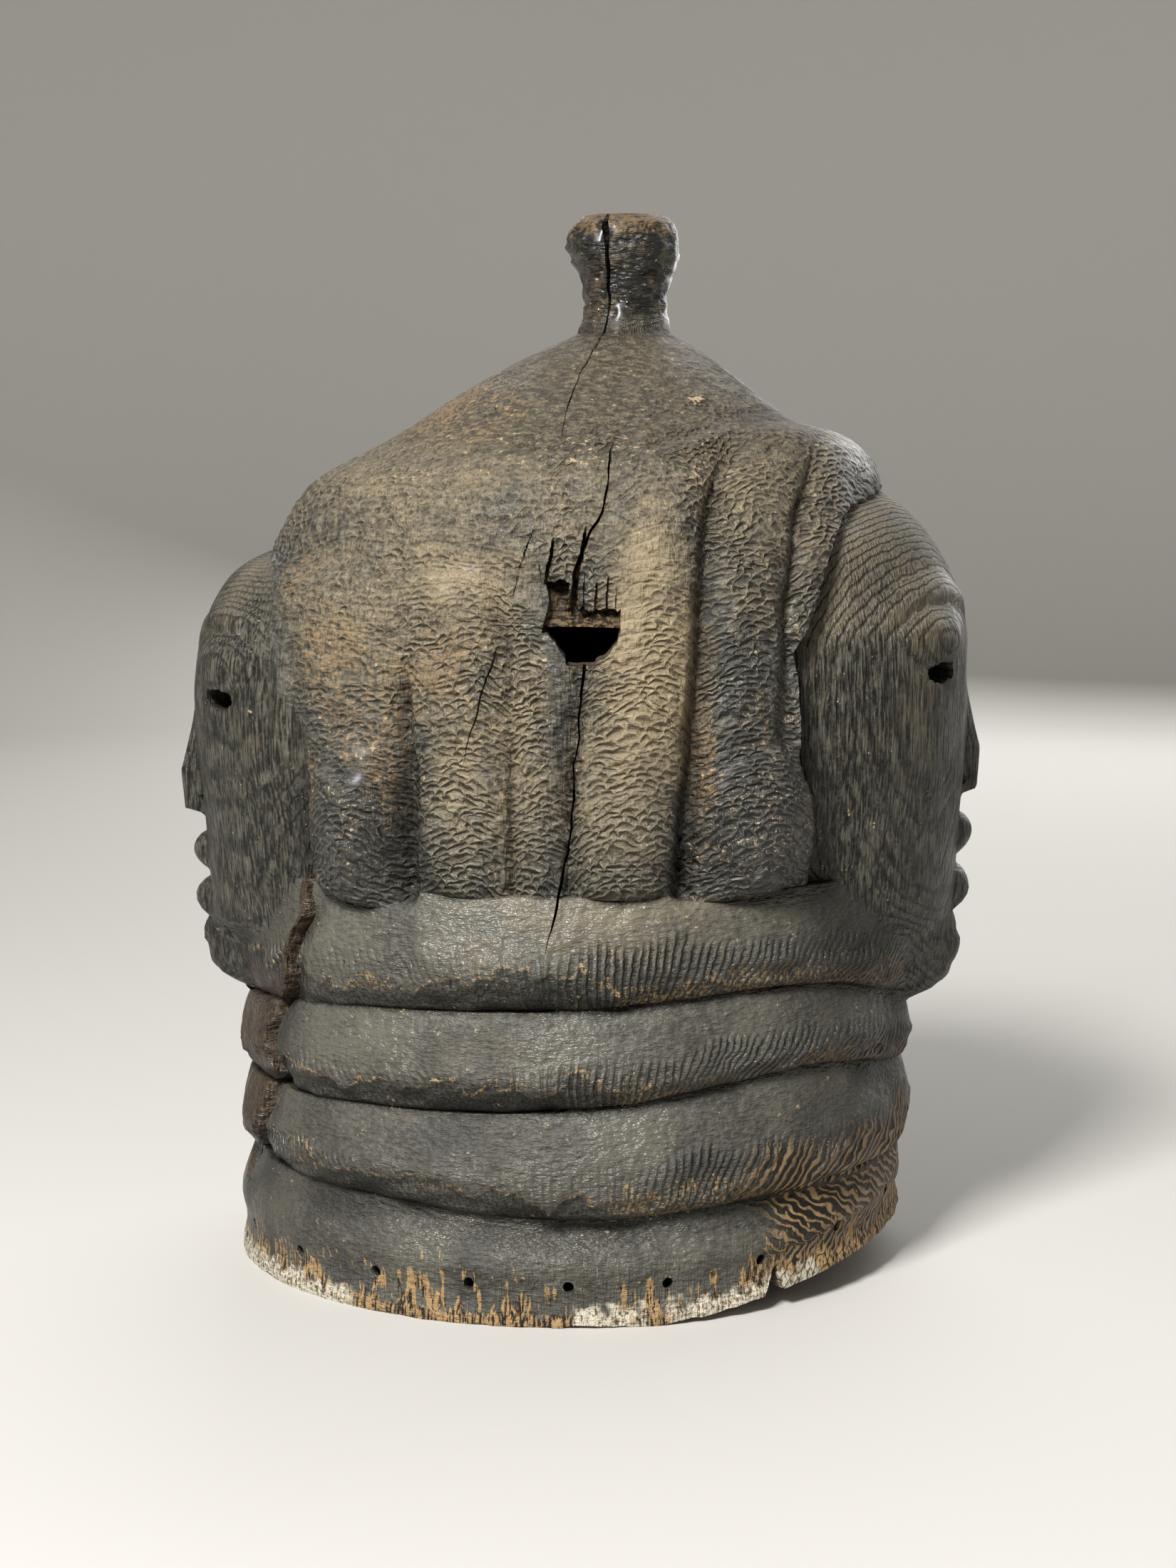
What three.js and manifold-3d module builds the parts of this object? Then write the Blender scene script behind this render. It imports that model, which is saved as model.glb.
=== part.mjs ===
// A carved wooden helmet mask with two faces, back to back. It is one hollow block of wood, open at the
// bottom: a rim with lacing holes, three neck rolls, a head with a face at either end and lobes of hair
// along both sides, and a sloping crown that ends in a flared knob. Millimetres, +Z up.
// X runs from face to face: the west face looks along -X and the east face along +X. The south side, -Y,
// is the side with the hole. The origin is under the middle of the mask, on the surface it stands on.
import * as THREE from "three";
import { mergeVertices } from "three/addons/utils/BufferGeometryUtils.js";
import Module from "manifold-3d";

// Driving dimensions
const HEIGHT = 394; // to the flat top of the knob
const NOSE_REACH = 153.5; // from the middle to the tip of either nose
const CROWN_TOP = 350; // where the knob stands on the crown
const KNOB_X = 16.7; // the knob stands a little east of the middle
const HAIR_LINE = 153; // the hair's lower edge, on top of the first neck roll
const FACE_CENTRE = 60; // the faces are half ovals drawn round points this far from the middle
const CAVITY_TOP = 325;
const CAVITY_SHOULDER = 200; // the hollow's walls close to a dome above this height

// Lower edges of the three neck rolls and of the rim, each given at eight points round the mask:
// east, north-east, north, north-west, west, south-west, south, south-east
const GROOVE_LEVELS = [
  [44, 43, 38, 41, 42, 41, 37, 43],
  [75, 83, 76, 74, 72, 73.5, 77, 87],
  [100, 114, 111, 109, 101, 109, 112.5, 117],
];
const RIM_LIFT = 17.5; // the rim has worn away under the east face
const RIM_LIFT_FROM = 25; // X where the wear begins
const RIM_LIFT_POWER = 1.4;

const ROLL_RISE = { ends: 4.5, sides: 8 }; // how far the rolls stand out of the grooves
const ROLL_TOP = 155.5; // the first roll's own top, hidden behind the hair
const NECK = { west: 127, east: 124, side: 107.5 };
const RIM = { west: 132, east: 124.5, side: 114 };
const RIM_WAIST = 1.5; // a slight hollow just above the rim's lower edge
const RIM_HOLES = { count: 20, first: -92, radius: 2.3, height: 15.5 };
const RIM_NOTCH = { angle: -53, width: 9, height: 11 };

// Outline of the hair and the crown at each height: how far it reaches west, east and to either side
const HAIR_WEST = [
  [150, 142], [200, 144], [235, 143], [250, 139], [261, 130], [269, 118], [280, 112], [288, 107],
  [295, 101], [301, 91], [308, 77], [316, 63], [326, 48], [341, 21], [350, 1],
];
const HAIR_EAST = [
  [150, 138], [220, 141], [250, 138], [272, 130], [283, 120.5], [292, 115], [300, 112], [306, 107.5],
  [311, 101], [314.5, 93], [317, 81], [323, 73], [330, 64], [338, 53], [344, 45], [350, 34],
];
const HAIR_SIDE = [
  [150, 106], [175, 107], [205, 107.5], [235, 105], [260, 101], [280, 95], [295, 87], [310, 75], [325, 58],
  [340, 35], [350, 17.5],
];

// The faces. front and width are the face's oval at each height; opening is half the angle between the
// hair on its two sides and edge is how gradually the hair steps down to it, in degrees. The features share one pattern, and lift says how much higher a face carries it.
const FACES = {
  west: {
    front: [
      [94, 100], [98, 120], [103, 137], [110, 143], [150, 143.5], [200, 146.5], [215, 147.5], [230, 146],
      [243, 142.5], [254, 137], [261, 131.5], [266, 124], [271, 112],
    ],
    width: [
      [94, 20], [104, 38], [116, 47], [126, 56], [132, 72], [175, 80], [200, 85], [230, 84], [250, 76],
      [262, 64], [271, 50],
    ],
    opening: [[125, 38], [150, 39], [205, 39], [220, 36], [235, 33], [250, 29], [262, 22], [267, 12], [271, 0]],
    edge: [[205, 1.5], [240, 7]],
    lift: [[112, 0], [226, 0]],
  },
  east: {
    front: [
      [90, 100], [94, 121], [98, 133], [104, 142], [112, 143.5], [150, 144.5], [200, 147.5], [235, 147.5],
      [251, 145], [261, 141], [270, 136], [277, 131], [283, 125.5], [288, 119.5], [291, 115], [295, 112],
    ],
    width: [
      [90, 18], [98, 36], [107, 46], [124, 60], [141, 76], [175, 82], [205, 85], [235, 84], [255, 78],
      [272, 72], [284, 62], [293, 50],
    ],
    opening: [
      [139, 43], [155, 45.5], [200, 49], [235, 49], [245, 46.5], [272, 38.5], [284, 30], [291, 13], [294, 0],
    ],
    edge: [[205, 1.5], [290, 1.5]],
    lift: [[112, 0], [139, 3], [151, 6], [178, 8], [226, 10]],
  },
};
const NOSE = { top: 214, tip: 185, under: 170, slope: 2.5, width: 9, bridge: 5 };
const LIPS = { upper: 154, lower: 136, height: 7, width: 15, rise: 6 };
const CHIN = { height: 116, reach: 13, width: 17, rise: 3.5 };
const BROW = { height: 247, drop: 9, from: 12, to: 66, thickness: 6, rise: 2.2 };
const JAW_FILLET = 4; // where the jaw meets the first neck roll
const LID = { height: 229, y: 47, half: 17, reach: 12, rise: 3.5 };
const EYE = { height: 216, turn: 33, slit: 16, open: 6.5 }; // turn: degrees to either side of the nose

// Lobes of hair along each side: x, half-width and rise at each of LOBE_LEVELS
const LOBE_LEVELS = [HAIR_LINE, 205, 245, 285, 312, 322];
const LOBES = {
  south: [
    { x: [-79, -80, -82, -84, -84, -84], half: [17, 18, 20, 22, 22, 22], rise: [6, 3, 1, 0, 0, 0] },
    { x: [-40, -41, -45, -50, -50, -50], half: [17, 18, 20, 24, 24, 24], rise: [5, 5, 3, 1, 0, 0] },
    { x: [-13.5, -13, -13, -13, -13, -13], half: [10, 10, 12, 14, 14, 14], rise: [4, 4, 1.5, 0, 0, 0] },
    { x: [15, 20, 24, 28, 33, 35], half: [19, 20, 20, 19, 18, 18], rise: [8, 9, 8, 7, 3, 0] },
    { x: [59, 57, 57, 62, 72, 74], half: [24, 18, 16, 16, 14, 14], rise: [8, 8, 7, 6, 5, 0] },
    { x: [84, 76, 79, 88, 95, 95], half: [3, 4, 7, 10, 10, 10], rise: [3, 4, 4, 4, 2, 0] },
  ],
  north: [
    { x: [-79, -80, -82, -84, -84, -84], half: [18, 19, 20, 22, 22, 22], rise: [6, 5, 4, 2, 0, 0] },
    { x: [-43, -44, -46, -49, -50, -50], half: [18, 18, 19, 20, 20, 20], rise: [7, 7, 6, 5, 2, 0] },
    { x: [-8, -8, -7, -6, -4, -4], half: [18, 19, 20, 20, 20, 20], rise: [7, 8, 8, 6, 3, 0] },
    { x: [27, 28, 30, 33, 35, 35], half: [17, 17, 17, 17, 16, 16], rise: [7, 8, 8, 6, 3, 0] },
    { x: [62, 60, 61, 65, 71, 72], half: [20, 16, 15, 15, 14, 14], rise: [7, 7, 7, 6, 5, 0] },
    { x: [86, 84, 84, 90, 96, 96], half: [4, 6, 8, 10, 10, 10], rise: [3, 4, 4, 4, 2, 0] },
  ],
};
// The outermost lobes end in rounded bulbs over the first neck roll
const BULBS = {
  south: [
    { x: -79, z: 179, half: 17, reach: 33, rise: 12 },
    { x: 59, z: 180, half: 25, reach: 35, rise: 12.5 },
  ],
  north: [
    { x: -79, z: 180, half: 19, reach: 34, rise: 12 },
    { x: 62, z: 180, half: 22, reach: 33, rise: 12 },
  ],
};

const CAVITY = {
  west: [[0, 119], [60, 114], [100, 114], [200, 120]],
  east: [[0, 111], [60, 111], [100, 112], [200, 120]],
  side: [[0, 103], [60, 98], [150, 94], [200, 92]],
};

// A hole broken through the south side, with a ledge of split wood above it
const BREAK_OUTLINE = [
  [-12.2, 245.5], [-8.8, 241], [-5.5, 238], [-1.6, 233], [2, 232.6], [7.7, 237], [13, 242], [14, 245.5],
];
const LEDGE = { west: -12.5, east: 14, bottom: 245.4, top: 265, depth: 9 };
const BREAK_FROM = -130; // Y, outside the mask
const BREAK_TO = -70; // Y, inside the hollow
const SIDE_AT_BREAK = -106; // Y of the surface round the hole

// Knob: radius at each height
const KNOB_PROFILE = [
  [336, 12], [344, 19.5], [350, 17.8], [356, 16], [362, 15.6], [369, 17], [376, 19.8], [382, 20.9], [387, 20.4],
  [391, 18.5], [HEIGHT, 15],
];
const KNOB_SEGMENTS = 24;

// Mesh density. Columns are angles from the middle of a face to the middle of a side; the head's rows are
// heights from the lowest groove upwards, given for the sides and for the faces, where they meet the features.
const COLUMNS = [0, 3, 6, 9.5, 13, 17, 21, 25.5, 30, 34.5, 39, 43.5, 48, 53, 58, 63.5, 69, 74.5, 80, 85];
const BAND_ROWS = [3, 4, 4]; // rows in the rim and in each of the two lower rolls
const SIDE_ROWS = [
  0, 5, 10, 16, 22, 28, 34, 39.5, HAIR_LINE, 157, 162, 168, 174, 180, 186, 192, 199, 206, 213, 220, 227, 235, 243,
  253, 263, 273, 283,
];
const FACE_ROWS = [
  0, 5, 11, 17, 23, 29, 35, 40, 145, 149.5, 154, 160, 165, 169, 171.5, 178, 185, 193, 202, 212, 222, 232, 242, 252,
  260, 267, 275,
];
const CROWN_ROWS = [292, 300, 307, 311.5, 315.5, 324, 336, CROWN_TOP];
const ROLL_ROWS = 8; // the first rows of both lists are counted up from the groove
const ROLL_SPAN = 45;
const FACE_ROWS_TO = 34; // degrees from a face's middle that the face's rows keep to
const SIDE_ROWS_FROM = 50;
const COLUMN_SQUEEZE = 1.2;
const EDGE_COLUMN = 41; // the edge of the hair lies between two columns
const EDGE_BEND = [27, 50];
const SWEPT_FROM = 205;
const CAVITY_WALL_ROWS = 3;
const CAVITY_DOME_ROWS = 4;

const radians = THREE.MathUtils.degToRad;
const { clamp, lerp, smoothstep } = THREE.MathUtils;

// A smooth curve through points [at, value] that never overshoots them: cubic pieces with slopes limited
// as Fritsch and Carlson do.
function curve(points) {
  const steps = points.slice(1).map(([x, y], i) => (y - points[i][1]) / (x - points[i][0]));
  const slopes = points.map((_, i) => {
    const before = steps[i - 1] ?? steps[i];
    const after = steps[i] ?? steps[i - 1];
    return before * after <= 0 ? 0 : (2 * before * after) / (before + after);
  });
  return (at) => {
    const x = clamp(at, points[0][0], points[points.length - 1][0]);
    const i = clamp(points.findIndex(([p]) => p > x) - 1, 0, points.length - 2);
    const last = x >= points[points.length - 1][0];
    const k = last ? points.length - 2 : i;
    const [x0, y0] = points[k];
    const [x1, y1] = points[k + 1];
    const span = x1 - x0;
    const t = (x - x0) / span;
    return (
      y0 * (1 + 2 * t) * (1 - t) ** 2 +
      y1 * t * t * (3 - 2 * t) +
      span * slopes[k] * t * (1 - t) ** 2 +
      span * slopes[k + 1] * t * t * (t - 1)
    );
  };
}

// A smooth closed curve through values given at equal steps round the mask, starting in the east.
function around(values) {
  const step = 360 / values.length;
  const at = (i) => values[((i % values.length) + values.length) % values.length];
  return (angle) => {
    const i = Math.floor(angle / step);
    const t = angle / step - i;
    const [a, b, c, d] = [at(i - 1), at(i), at(i + 1), at(i + 2)];
    return b + 0.5 * t * (c - a + t * (2 * a - 5 * b + 4 * c - d + t * (3 * (b - c) + d - a)));
  };
}

// Distance from the axis to an oval with its own reach to the west, the east and the sides.
function ovalRadius(angle, west, east, side) {
  const c = Math.cos(radians(angle));
  const s = Math.sin(radians(angle));
  return 1 / Math.hypot(c / (c < 0 ? west : east), s / side);
}

// The vertical axis that radii are measured from leans east under the knob.
const axisX = (z) => KNOB_X * smoothstep(z, 290, 345);

// A rounded bump, 1 at the middle and 0 at either edge.
const dome = (t, power = 0.5) => Math.max(0, 1 - t * t) ** power;

const grooves = GROOVE_LEVELS.map(around);

function rimLevel(angle) {
  const x = ovalRadius(angle, RIM.west, RIM.east, RIM.side) * Math.cos(radians(angle));
  const share = clamp((x - RIM_LIFT_FROM) / (RIM.east - RIM_LIFT_FROM), 0, 1);
  return RIM_LIFT * share ** RIM_LIFT_POWER;
}

// Rim and neck: an oval with a roll between each pair of grooves. A roll is fullest a third of the way up.
function neckRadius(angle, z) {
  const levels = [rimLevel(angle), ...grooves.map((level) => level(angle)), ROLL_TOP];
  const oval = (size) => ovalRadius(angle, size.west, size.east, size.side);
  if (z <= levels[1]) {
    const t = clamp((levels[1] - z) / (levels[1] - levels[0]), 0, 1);
    return lerp(oval(NECK), oval(RIM), smoothstep(t, 0, 0.45)) - RIM_WAIST * dome((t - 0.72) / 0.22, 1);
  }
  const band = levels.findIndex((level) => level > z);
  const t = clamp((z - levels[band - 1]) / (levels[band] - levels[band - 1]), 0, 1);
  const rise = lerp(ROLL_RISE.ends, ROLL_RISE.sides, Math.sin(radians(angle)) ** 2);
  return oval(NECK) + rise * Math.sin(Math.PI * t ** 0.65) ** 0.7;
}

const hairWest = curve(HAIR_WEST);
const hairEast = curve(HAIR_EAST);
const hairSide = curve(HAIR_SIDE);

const lobeCurves = Object.fromEntries(
  Object.entries(LOBES).map(([side, lobes]) => {
    const along = (values) => curve(LOBE_LEVELS.map((level, i) => [level, values[i]]));
    return [side, lobes.map(({ x, half, rise }) => ({ x: along(x), half: along(half), rise: along(rise) }))];
  }),
);

// How far the hair stands out at a point of one side. x is measured from face to face.
function lobeRise(side, x, z) {
  const lobes = lobeCurves[side].map((lobe) => lobe.rise(z) * dome((x - lobe.x(z)) / lobe.half(z), 0.75));
  const bulbs = BULBS[side].map(
    (bulb) => bulb.rise * dome(Math.hypot((x - bulb.x) / bulb.half, (z - bulb.z) / bulb.reach), 0.8),
  );
  return Math.max(...lobes, ...bulbs);
}

function hairRadius(angle, z) {
  const x0 = axisX(z);
  const oval = ovalRadius(angle, hairWest(z) + x0, hairEast(z) - x0, hairSide(z));
  const x = x0 + oval * Math.cos(radians(angle));
  const across = Math.sin(radians(angle));
  return oval + lobeRise(across < 0 ? "south" : "north", x, z) * Math.abs(across) ** 0.5;
}

// Nose, lips, chin, brows and eyelids of a face, as how far they stand out of its oval. y is measured
// across the face and z is the height on the west face.
function featureRise(y, z, reach) {
  const across = Math.abs(y);
  const down = clamp((NOSE.top - z) / (NOSE.top - NOSE.tip), 0, 1);
  const noseHalf = lerp(NOSE.bridge, NOSE.width, down);
  const noseHeight = lerp(0, reach, down ** 1.3) * smoothstep(z, NOSE.under - NOSE.slope, NOSE.under);
  const nose = noseHeight * (1 - smoothstep(across, noseHalf * 0.35, noseHalf * 1.25));
  const lip = (height) =>
    LIPS.rise * dome((z - height) / LIPS.height, 0.7) * dome(across / LIPS.width, 0.7);
  const chin = CHIN.rise * dome((z - CHIN.height) / CHIN.reach, 1) * dome(across / CHIN.width, 1);
  const alongBrow = (2 * across - BROW.from - BROW.to) / (BROW.to - BROW.from);
  const browLine = BROW.height - BROW.drop * alongBrow ** 2;
  const brow = BROW.rise * dome((z - browLine) / BROW.thickness, 1) * dome(alongBrow, 0.5);
  const lid = LID.rise * dome(Math.hypot((across - LID.y) / LID.half, (z - LID.height) / LID.reach), 0.8);
  return Math.max(nose, lip(LIPS.upper), lip(LIPS.lower), chin, brow, lid);
}

const faceCurves = Object.fromEntries(
  Object.entries(FACES).map(([name, face]) => [
    name,
    Object.fromEntries(Object.entries(face).map(([measure, points]) => [measure, curve(points)])),
  ]),
);

// A face: an oval round FACE_CENTRE, cut by the ray at this angle from the middle of the face.
function faceRadius(face, off, z) {
  const c = Math.cos(radians(off));
  const s = Math.sin(radians(off));
  const long = face.front(z) - FACE_CENTRE;
  const wide = face.width(z);
  const a = (c / long) ** 2 + (s / wide) ** 2;
  const b = (FACE_CENTRE * c) / long ** 2;
  const oval = (b + Math.sqrt(Math.max(0, b * b - a * ((FACE_CENTRE / long) ** 2 - 1)))) / a;
  const reach = NOSE_REACH - face.front(NOSE.tip + face.lift(z));
  return oval + featureRise(oval * s, z - face.lift(z), reach);
}

// The larger of two values, rounded off where they are within a small distance of each other.
function softMax(a, b, within) {
  const share = Math.max(0, 1 - Math.abs(a - b) / within);
  return Math.max(a, b) + (share * share * within) / 4;
}

// Degrees from the middle of the nearer face, and which face that is.
function nearerFace(angle) {
  const turn = THREE.MathUtils.euclideanModulo(angle + 90, 360) - 90;
  return turn > 90 ? { name: "west", off: turn - 180 } : { name: "east", off: turn };
}

// The outer surface: neck, hair and faces joined, as a distance from the axis.
function outerRadius(angle, z) {
  const { name, off } = nearerFace(angle);
  const face = faceCurves[name];
  const opening = face.opening(z);
  const edge = face.edge(z);
  const inFace = opening > 0 ? 1 - smoothstep(Math.abs(off), opening - edge, opening + edge) : 0;
  const front = inFace > 0 ? faceRadius(face, off, z) : 0;
  if (z < HAIR_LINE) return softMax(neckRadius(angle, z), front, JAW_FILLET);
  return inFace > 0 ? lerp(hairRadius(angle, z), front, inFace) : hairRadius(angle, z);
}

// Columns keep their distance from the middle of the mask as they climb the sides, as the lobes do, and
// bend with the edge of the hair beside a face.
function columnAngle(base, z) {
  const { name, off } = nearerFace(base);
  const onSide = smoothstep(Math.abs(Math.sin(radians(base))), 0.7, 0.93);
  const narrowing = Math.min(COLUMN_SQUEEZE, hairSide(SWEPT_FROM) / hairSide(Math.max(z, SWEPT_FROM)));
  const straight = THREE.MathUtils.radToDeg(Math.acos(Math.cos(radians(off)) * lerp(1, narrowing, onSide)));
  const bend = clamp(faceCurves[name].opening(z), ...EDGE_BEND) - EDGE_COLUMN;
  const share = straight < EDGE_COLUMN ? straight / EDGE_COLUMN : 1 - smoothstep(straight, EDGE_COLUMN, 85);
  const turn = Math.sign(off) * (straight + bend * share);
  return name === "east" ? turn : turn + 180;
}

function outerPoint(base, z) {
  const angle = columnAngle(base, z);
  const r = outerRadius(angle, z);
  return [axisX(z) + r * Math.cos(radians(angle)), r * Math.sin(radians(angle)), z];
}

function columnAngles() {
  const half = [...COLUMNS, 90, ...COLUMNS.slice(1).reverse().map((a) => 180 - a)];
  return [...half, ...half.map((a) => a + 180)];
}

// Heights of the mesh's rows at one angle: they follow the grooves of the neck and the features of the face.
function rowHeights(angle) {
  const levels = [rimLevel(angle), ...grooves.map((level) => level(angle))];
  const rows = [];
  for (let band = 0; band < 3; band++)
    for (let i = 0; i < BAND_ROWS[band]; i++)
      rows.push(lerp(levels[band], levels[band + 1], i / BAND_ROWS[band]));
  const { name, off } = nearerFace(angle);
  const onFace = 1 - smoothstep(Math.abs(off), FACE_ROWS_TO, SIDE_ROWS_FROM);
  SIDE_ROWS.forEach((side, i) => {
    const z = lerp(side, FACE_ROWS[i], onFace);
    const lifted = (height) => height + onFace * faceCurves[name].lift(height + 10);
    const mouth = lifted(lerp(HAIR_LINE, FACE_ROWS[ROLL_ROWS], onFace));
    rows.push(i < ROLL_ROWS ? lerp(levels[3], mouth, z / ROLL_SPAN) : lifted(z));
  });
  return [...rows, ...CROWN_ROWS];
}

const cavityWest = curve(CAVITY.west);
const cavityEast = curve(CAVITY.east);
const cavitySide = curve(CAVITY.side);

// Points of the hollow at one angle, from the rim up to the rim of its domed top.
function cavityColumn(angle) {
  const rows = [];
  const foot = rimLevel(angle);
  for (let i = 0; i < CAVITY_WALL_ROWS; i++)
    rows.push([lerp(foot, CAVITY_SHOULDER, i / CAVITY_WALL_ROWS), 1]);
  for (let i = 0; i < CAVITY_DOME_ROWS; i++) {
    const turn = (i / CAVITY_DOME_ROWS) * (Math.PI / 2);
    rows.push([CAVITY_SHOULDER + (CAVITY_TOP - CAVITY_SHOULDER) * Math.sin(turn), Math.cos(turn)]);
  }
  return rows.map(([z, share]) => {
    const r = share * ovalRadius(angle, cavityWest(z), cavityEast(z), cavitySide(z));
    return [r * Math.cos(radians(angle)), r * Math.sin(radians(angle)), z];
  });
}

// The block as one closed mesh: outer columns, a cap under the knob, every second column inside, and the
// flat underside of the rim between them.
function shellGeometry() {
  const angles = columnAngles();
  const outer = angles.map((angle) => rowHeights(angle).map((z) => outerPoint(angle, z)));
  const inner = angles.filter((_, i) => i % 2 === 0).map(cavityColumn);
  const triangles = [];
  const apart = (a, b) => Math.hypot(a[0] - b[0], a[1] - b[1], a[2] - b[2]);
  const quad = (a, b, c, d) =>
    apart(a, c) < apart(b, d) ? triangles.push(a, b, c, a, c, d) : triangles.push(a, b, d, b, c, d);
  const skin = (columns, outwards) =>
    columns.forEach((column, i) => {
      const next = columns[(i + 1) % columns.length];
      for (let j = 0; j + 1 < column.length; j++) {
        if (outwards) quad(column[j], next[j], next[j + 1], column[j + 1]);
        else quad(column[j], column[j + 1], next[j + 1], next[j]);
      }
    });
  const cap = (columns, centre, outwards) =>
    columns.forEach((column, i) => {
      const a = column[column.length - 1];
      const b = columns[(i + 1) % columns.length][column.length - 1];
      triangles.push(...(outwards ? [a, b, centre] : [b, a, centre]));
    });
  skin(outer, true);
  cap(outer, [KNOB_X, 0, CROWN_TOP], true);
  skin(inner, false);
  cap(inner, [0, 0, CAVITY_TOP], false);
  inner.forEach((column, i) => {
    const [o0, o1, o2] = [0, 1, 2].map((k) => outer[(2 * i + k) % outer.length][0]);
    const i0 = column[0];
    const i1 = inner[(i + 1) % inner.length][0];
    triangles.push(o1, o0, i0, o1, i0, i1, o2, o1, i1);
  });
  return new THREE.BufferGeometry().setAttribute(
    "position",
    new THREE.Float32BufferAttribute(triangles.flat(), 3),
  );
}

function knobGeometry() {
  const top = KNOB_PROFILE[KNOB_PROFILE.length - 1][0];
  const bottom = KNOB_PROFILE[0][0];
  const outline = [[0, bottom], ...KNOB_PROFILE.map(([z, r]) => [r, z]), [0, top]];
  const points = outline.map(([r, z]) => new THREE.Vector2(r, z));
  return new THREE.LatheGeometry(points, KNOB_SEGMENTS).rotateX(Math.PI / 2).translate(KNOB_X, 0, 0);
}

// A prism drawn in the XZ plane as [x, z] points and pushed from one Y to another.
function prismAlongY(points, from, to) {
  const shape = new THREE.Shape(points.map(([x, z]) => new THREE.Vector2(x, z)));
  const prism = new THREE.ExtrudeGeometry(shape, { depth: to - from, bevelEnabled: false });
  return prism.rotateX(Math.PI / 2).translate(0, to, 0);
}

// The split ledge above the hole: a wedge that starts at the surface and deepens downwards.
function ledgeGeometry() {
  const foot = SIDE_AT_BREAK + LEDGE.depth;
  const outline = [
    [BREAK_FROM, LEDGE.bottom], [foot, LEDGE.bottom], [SIDE_AT_BREAK + 4, LEDGE.top], [BREAK_FROM, LEDGE.top],
  ];
  const shape = new THREE.Shape(outline.map(([y, z]) => new THREE.Vector2(y, z)));
  const wedge = new THREE.ExtrudeGeometry(shape, { depth: LEDGE.east - LEDGE.west, bevelEnabled: false });
  return wedge.rotateX(Math.PI / 2).rotateZ(Math.PI / 2).translate(LEDGE.west, 0, 0);
}

// A slot with pointed ends, or a round hole where width and height are the same, bored towards the middle.
function boreGeometry({ angle, x = 0, y = 0, z, width, height, from, to, sides }) {
  const points = [];
  for (let i = 0; i < sides; i++) {
    const turn = (2 * Math.PI * (i + 0.5)) / sides;
    points.push(new THREE.Vector2((width / 2) * Math.cos(turn), (height / 2) * Math.sin(turn)));
  }
  const bore = new THREE.ExtrudeGeometry(new THREE.Shape(points), { depth: to - from, bevelEnabled: false });
  return bore
    .translate(0, 0, from)
    .rotateX(Math.PI / 2)
    .rotateZ(radians(angle) + Math.PI / 2)
    .translate(x, y, z);
}

function eyeHoles() {
  return Object.keys(FACES).flatMap((name) =>
    [-1, 1].map((side) =>
      boreGeometry({
        angle: name === "east" ? side * EYE.turn : 180 + side * EYE.turn,
        x: name === "east" ? FACE_CENTRE : -FACE_CENTRE,
        z: EYE.height + faceCurves[name].lift(EYE.height + 10),
        width: EYE.slit,
        height: EYE.open,
        from: 50,
        to: 110,
        sides: 6,
      }),
    ),
  );
}

function rimHoles() {
  return Array.from({ length: RIM_HOLES.count }, (_, i) => {
    const angle = RIM_HOLES.first + (360 * i) / RIM_HOLES.count;
    return boreGeometry({
      angle,
      z: RIM_HOLES.height + rimLevel(angle),
      width: 2 * RIM_HOLES.radius,
      height: 2 * RIM_HOLES.radius,
      from: 85,
      to: 150,
      sides: 6,
    });
  });
}

function notchGeometry() {
  const foot = rimLevel(RIM_NOTCH.angle);
  const half = RIM_NOTCH.width / 2;
  const shape = new THREE.Shape(
    [[-half, foot - 6], [half, foot - 6], [half, foot], [0.6, foot + RIM_NOTCH.height], [-half, foot]].map(
      ([a, b]) => new THREE.Vector2(a, b),
    ),
  );
  const notch = new THREE.ExtrudeGeometry(shape, { depth: 65, bevelEnabled: false });
  return notch.translate(0, 0, 85).rotateX(Math.PI / 2).rotateZ(radians(RIM_NOTCH.angle) + Math.PI / 2);
}

const wasm = await Module();
wasm.setup();

function solid(geometry) {
  geometry.deleteAttribute("normal");
  geometry.deleteAttribute("uv");
  const merged = mergeVertices(geometry, 1e-3);
  const made = new wasm.Manifold(
    new wasm.Mesh({
      numProp: 3,
      vertProperties: merged.attributes.position.array,
      triVerts: new Uint32Array(merged.index.array),
    }),
  );
  return made;
}

function geometryOf(made) {
  const mesh = made.getMesh();
  return new THREE.BufferGeometry()
    .setAttribute("position", new THREE.BufferAttribute(mesh.vertProperties, 3))
    .setIndex(new THREE.BufferAttribute(mesh.triVerts, 1));
}

const cutters = [
  prismAlongY(BREAK_OUTLINE, BREAK_FROM, BREAK_TO),
  ledgeGeometry(),
  notchGeometry(),
  ...eyeHoles(),
  ...rimHoles(),
];
const block = solid(shellGeometry()).add(solid(knobGeometry()));
const carved = cutters.reduce((rest, cutter) => rest.subtract(solid(cutter)), block);

const blackenedWood = new THREE.MeshStandardMaterial({ color: 0x2e2a25, roughness: 0.6, metalness: 0 });
const mask = new THREE.Mesh(geometryOf(carved), blackenedWood);
mask.name = "mask";

const group = new THREE.Group();
group.add(mask);
export default group;
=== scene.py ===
"""A carved wooden helmet mask with two faces, back to back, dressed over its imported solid.

Lengths in the working-out are millimetres, with +Z up. X runs from face to face: the west face looks along
-X, the east face along +X, and the south side, -Y, is the side with the hole. Meshes are in metres.
"""

import math
from types import SimpleNamespace

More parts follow.
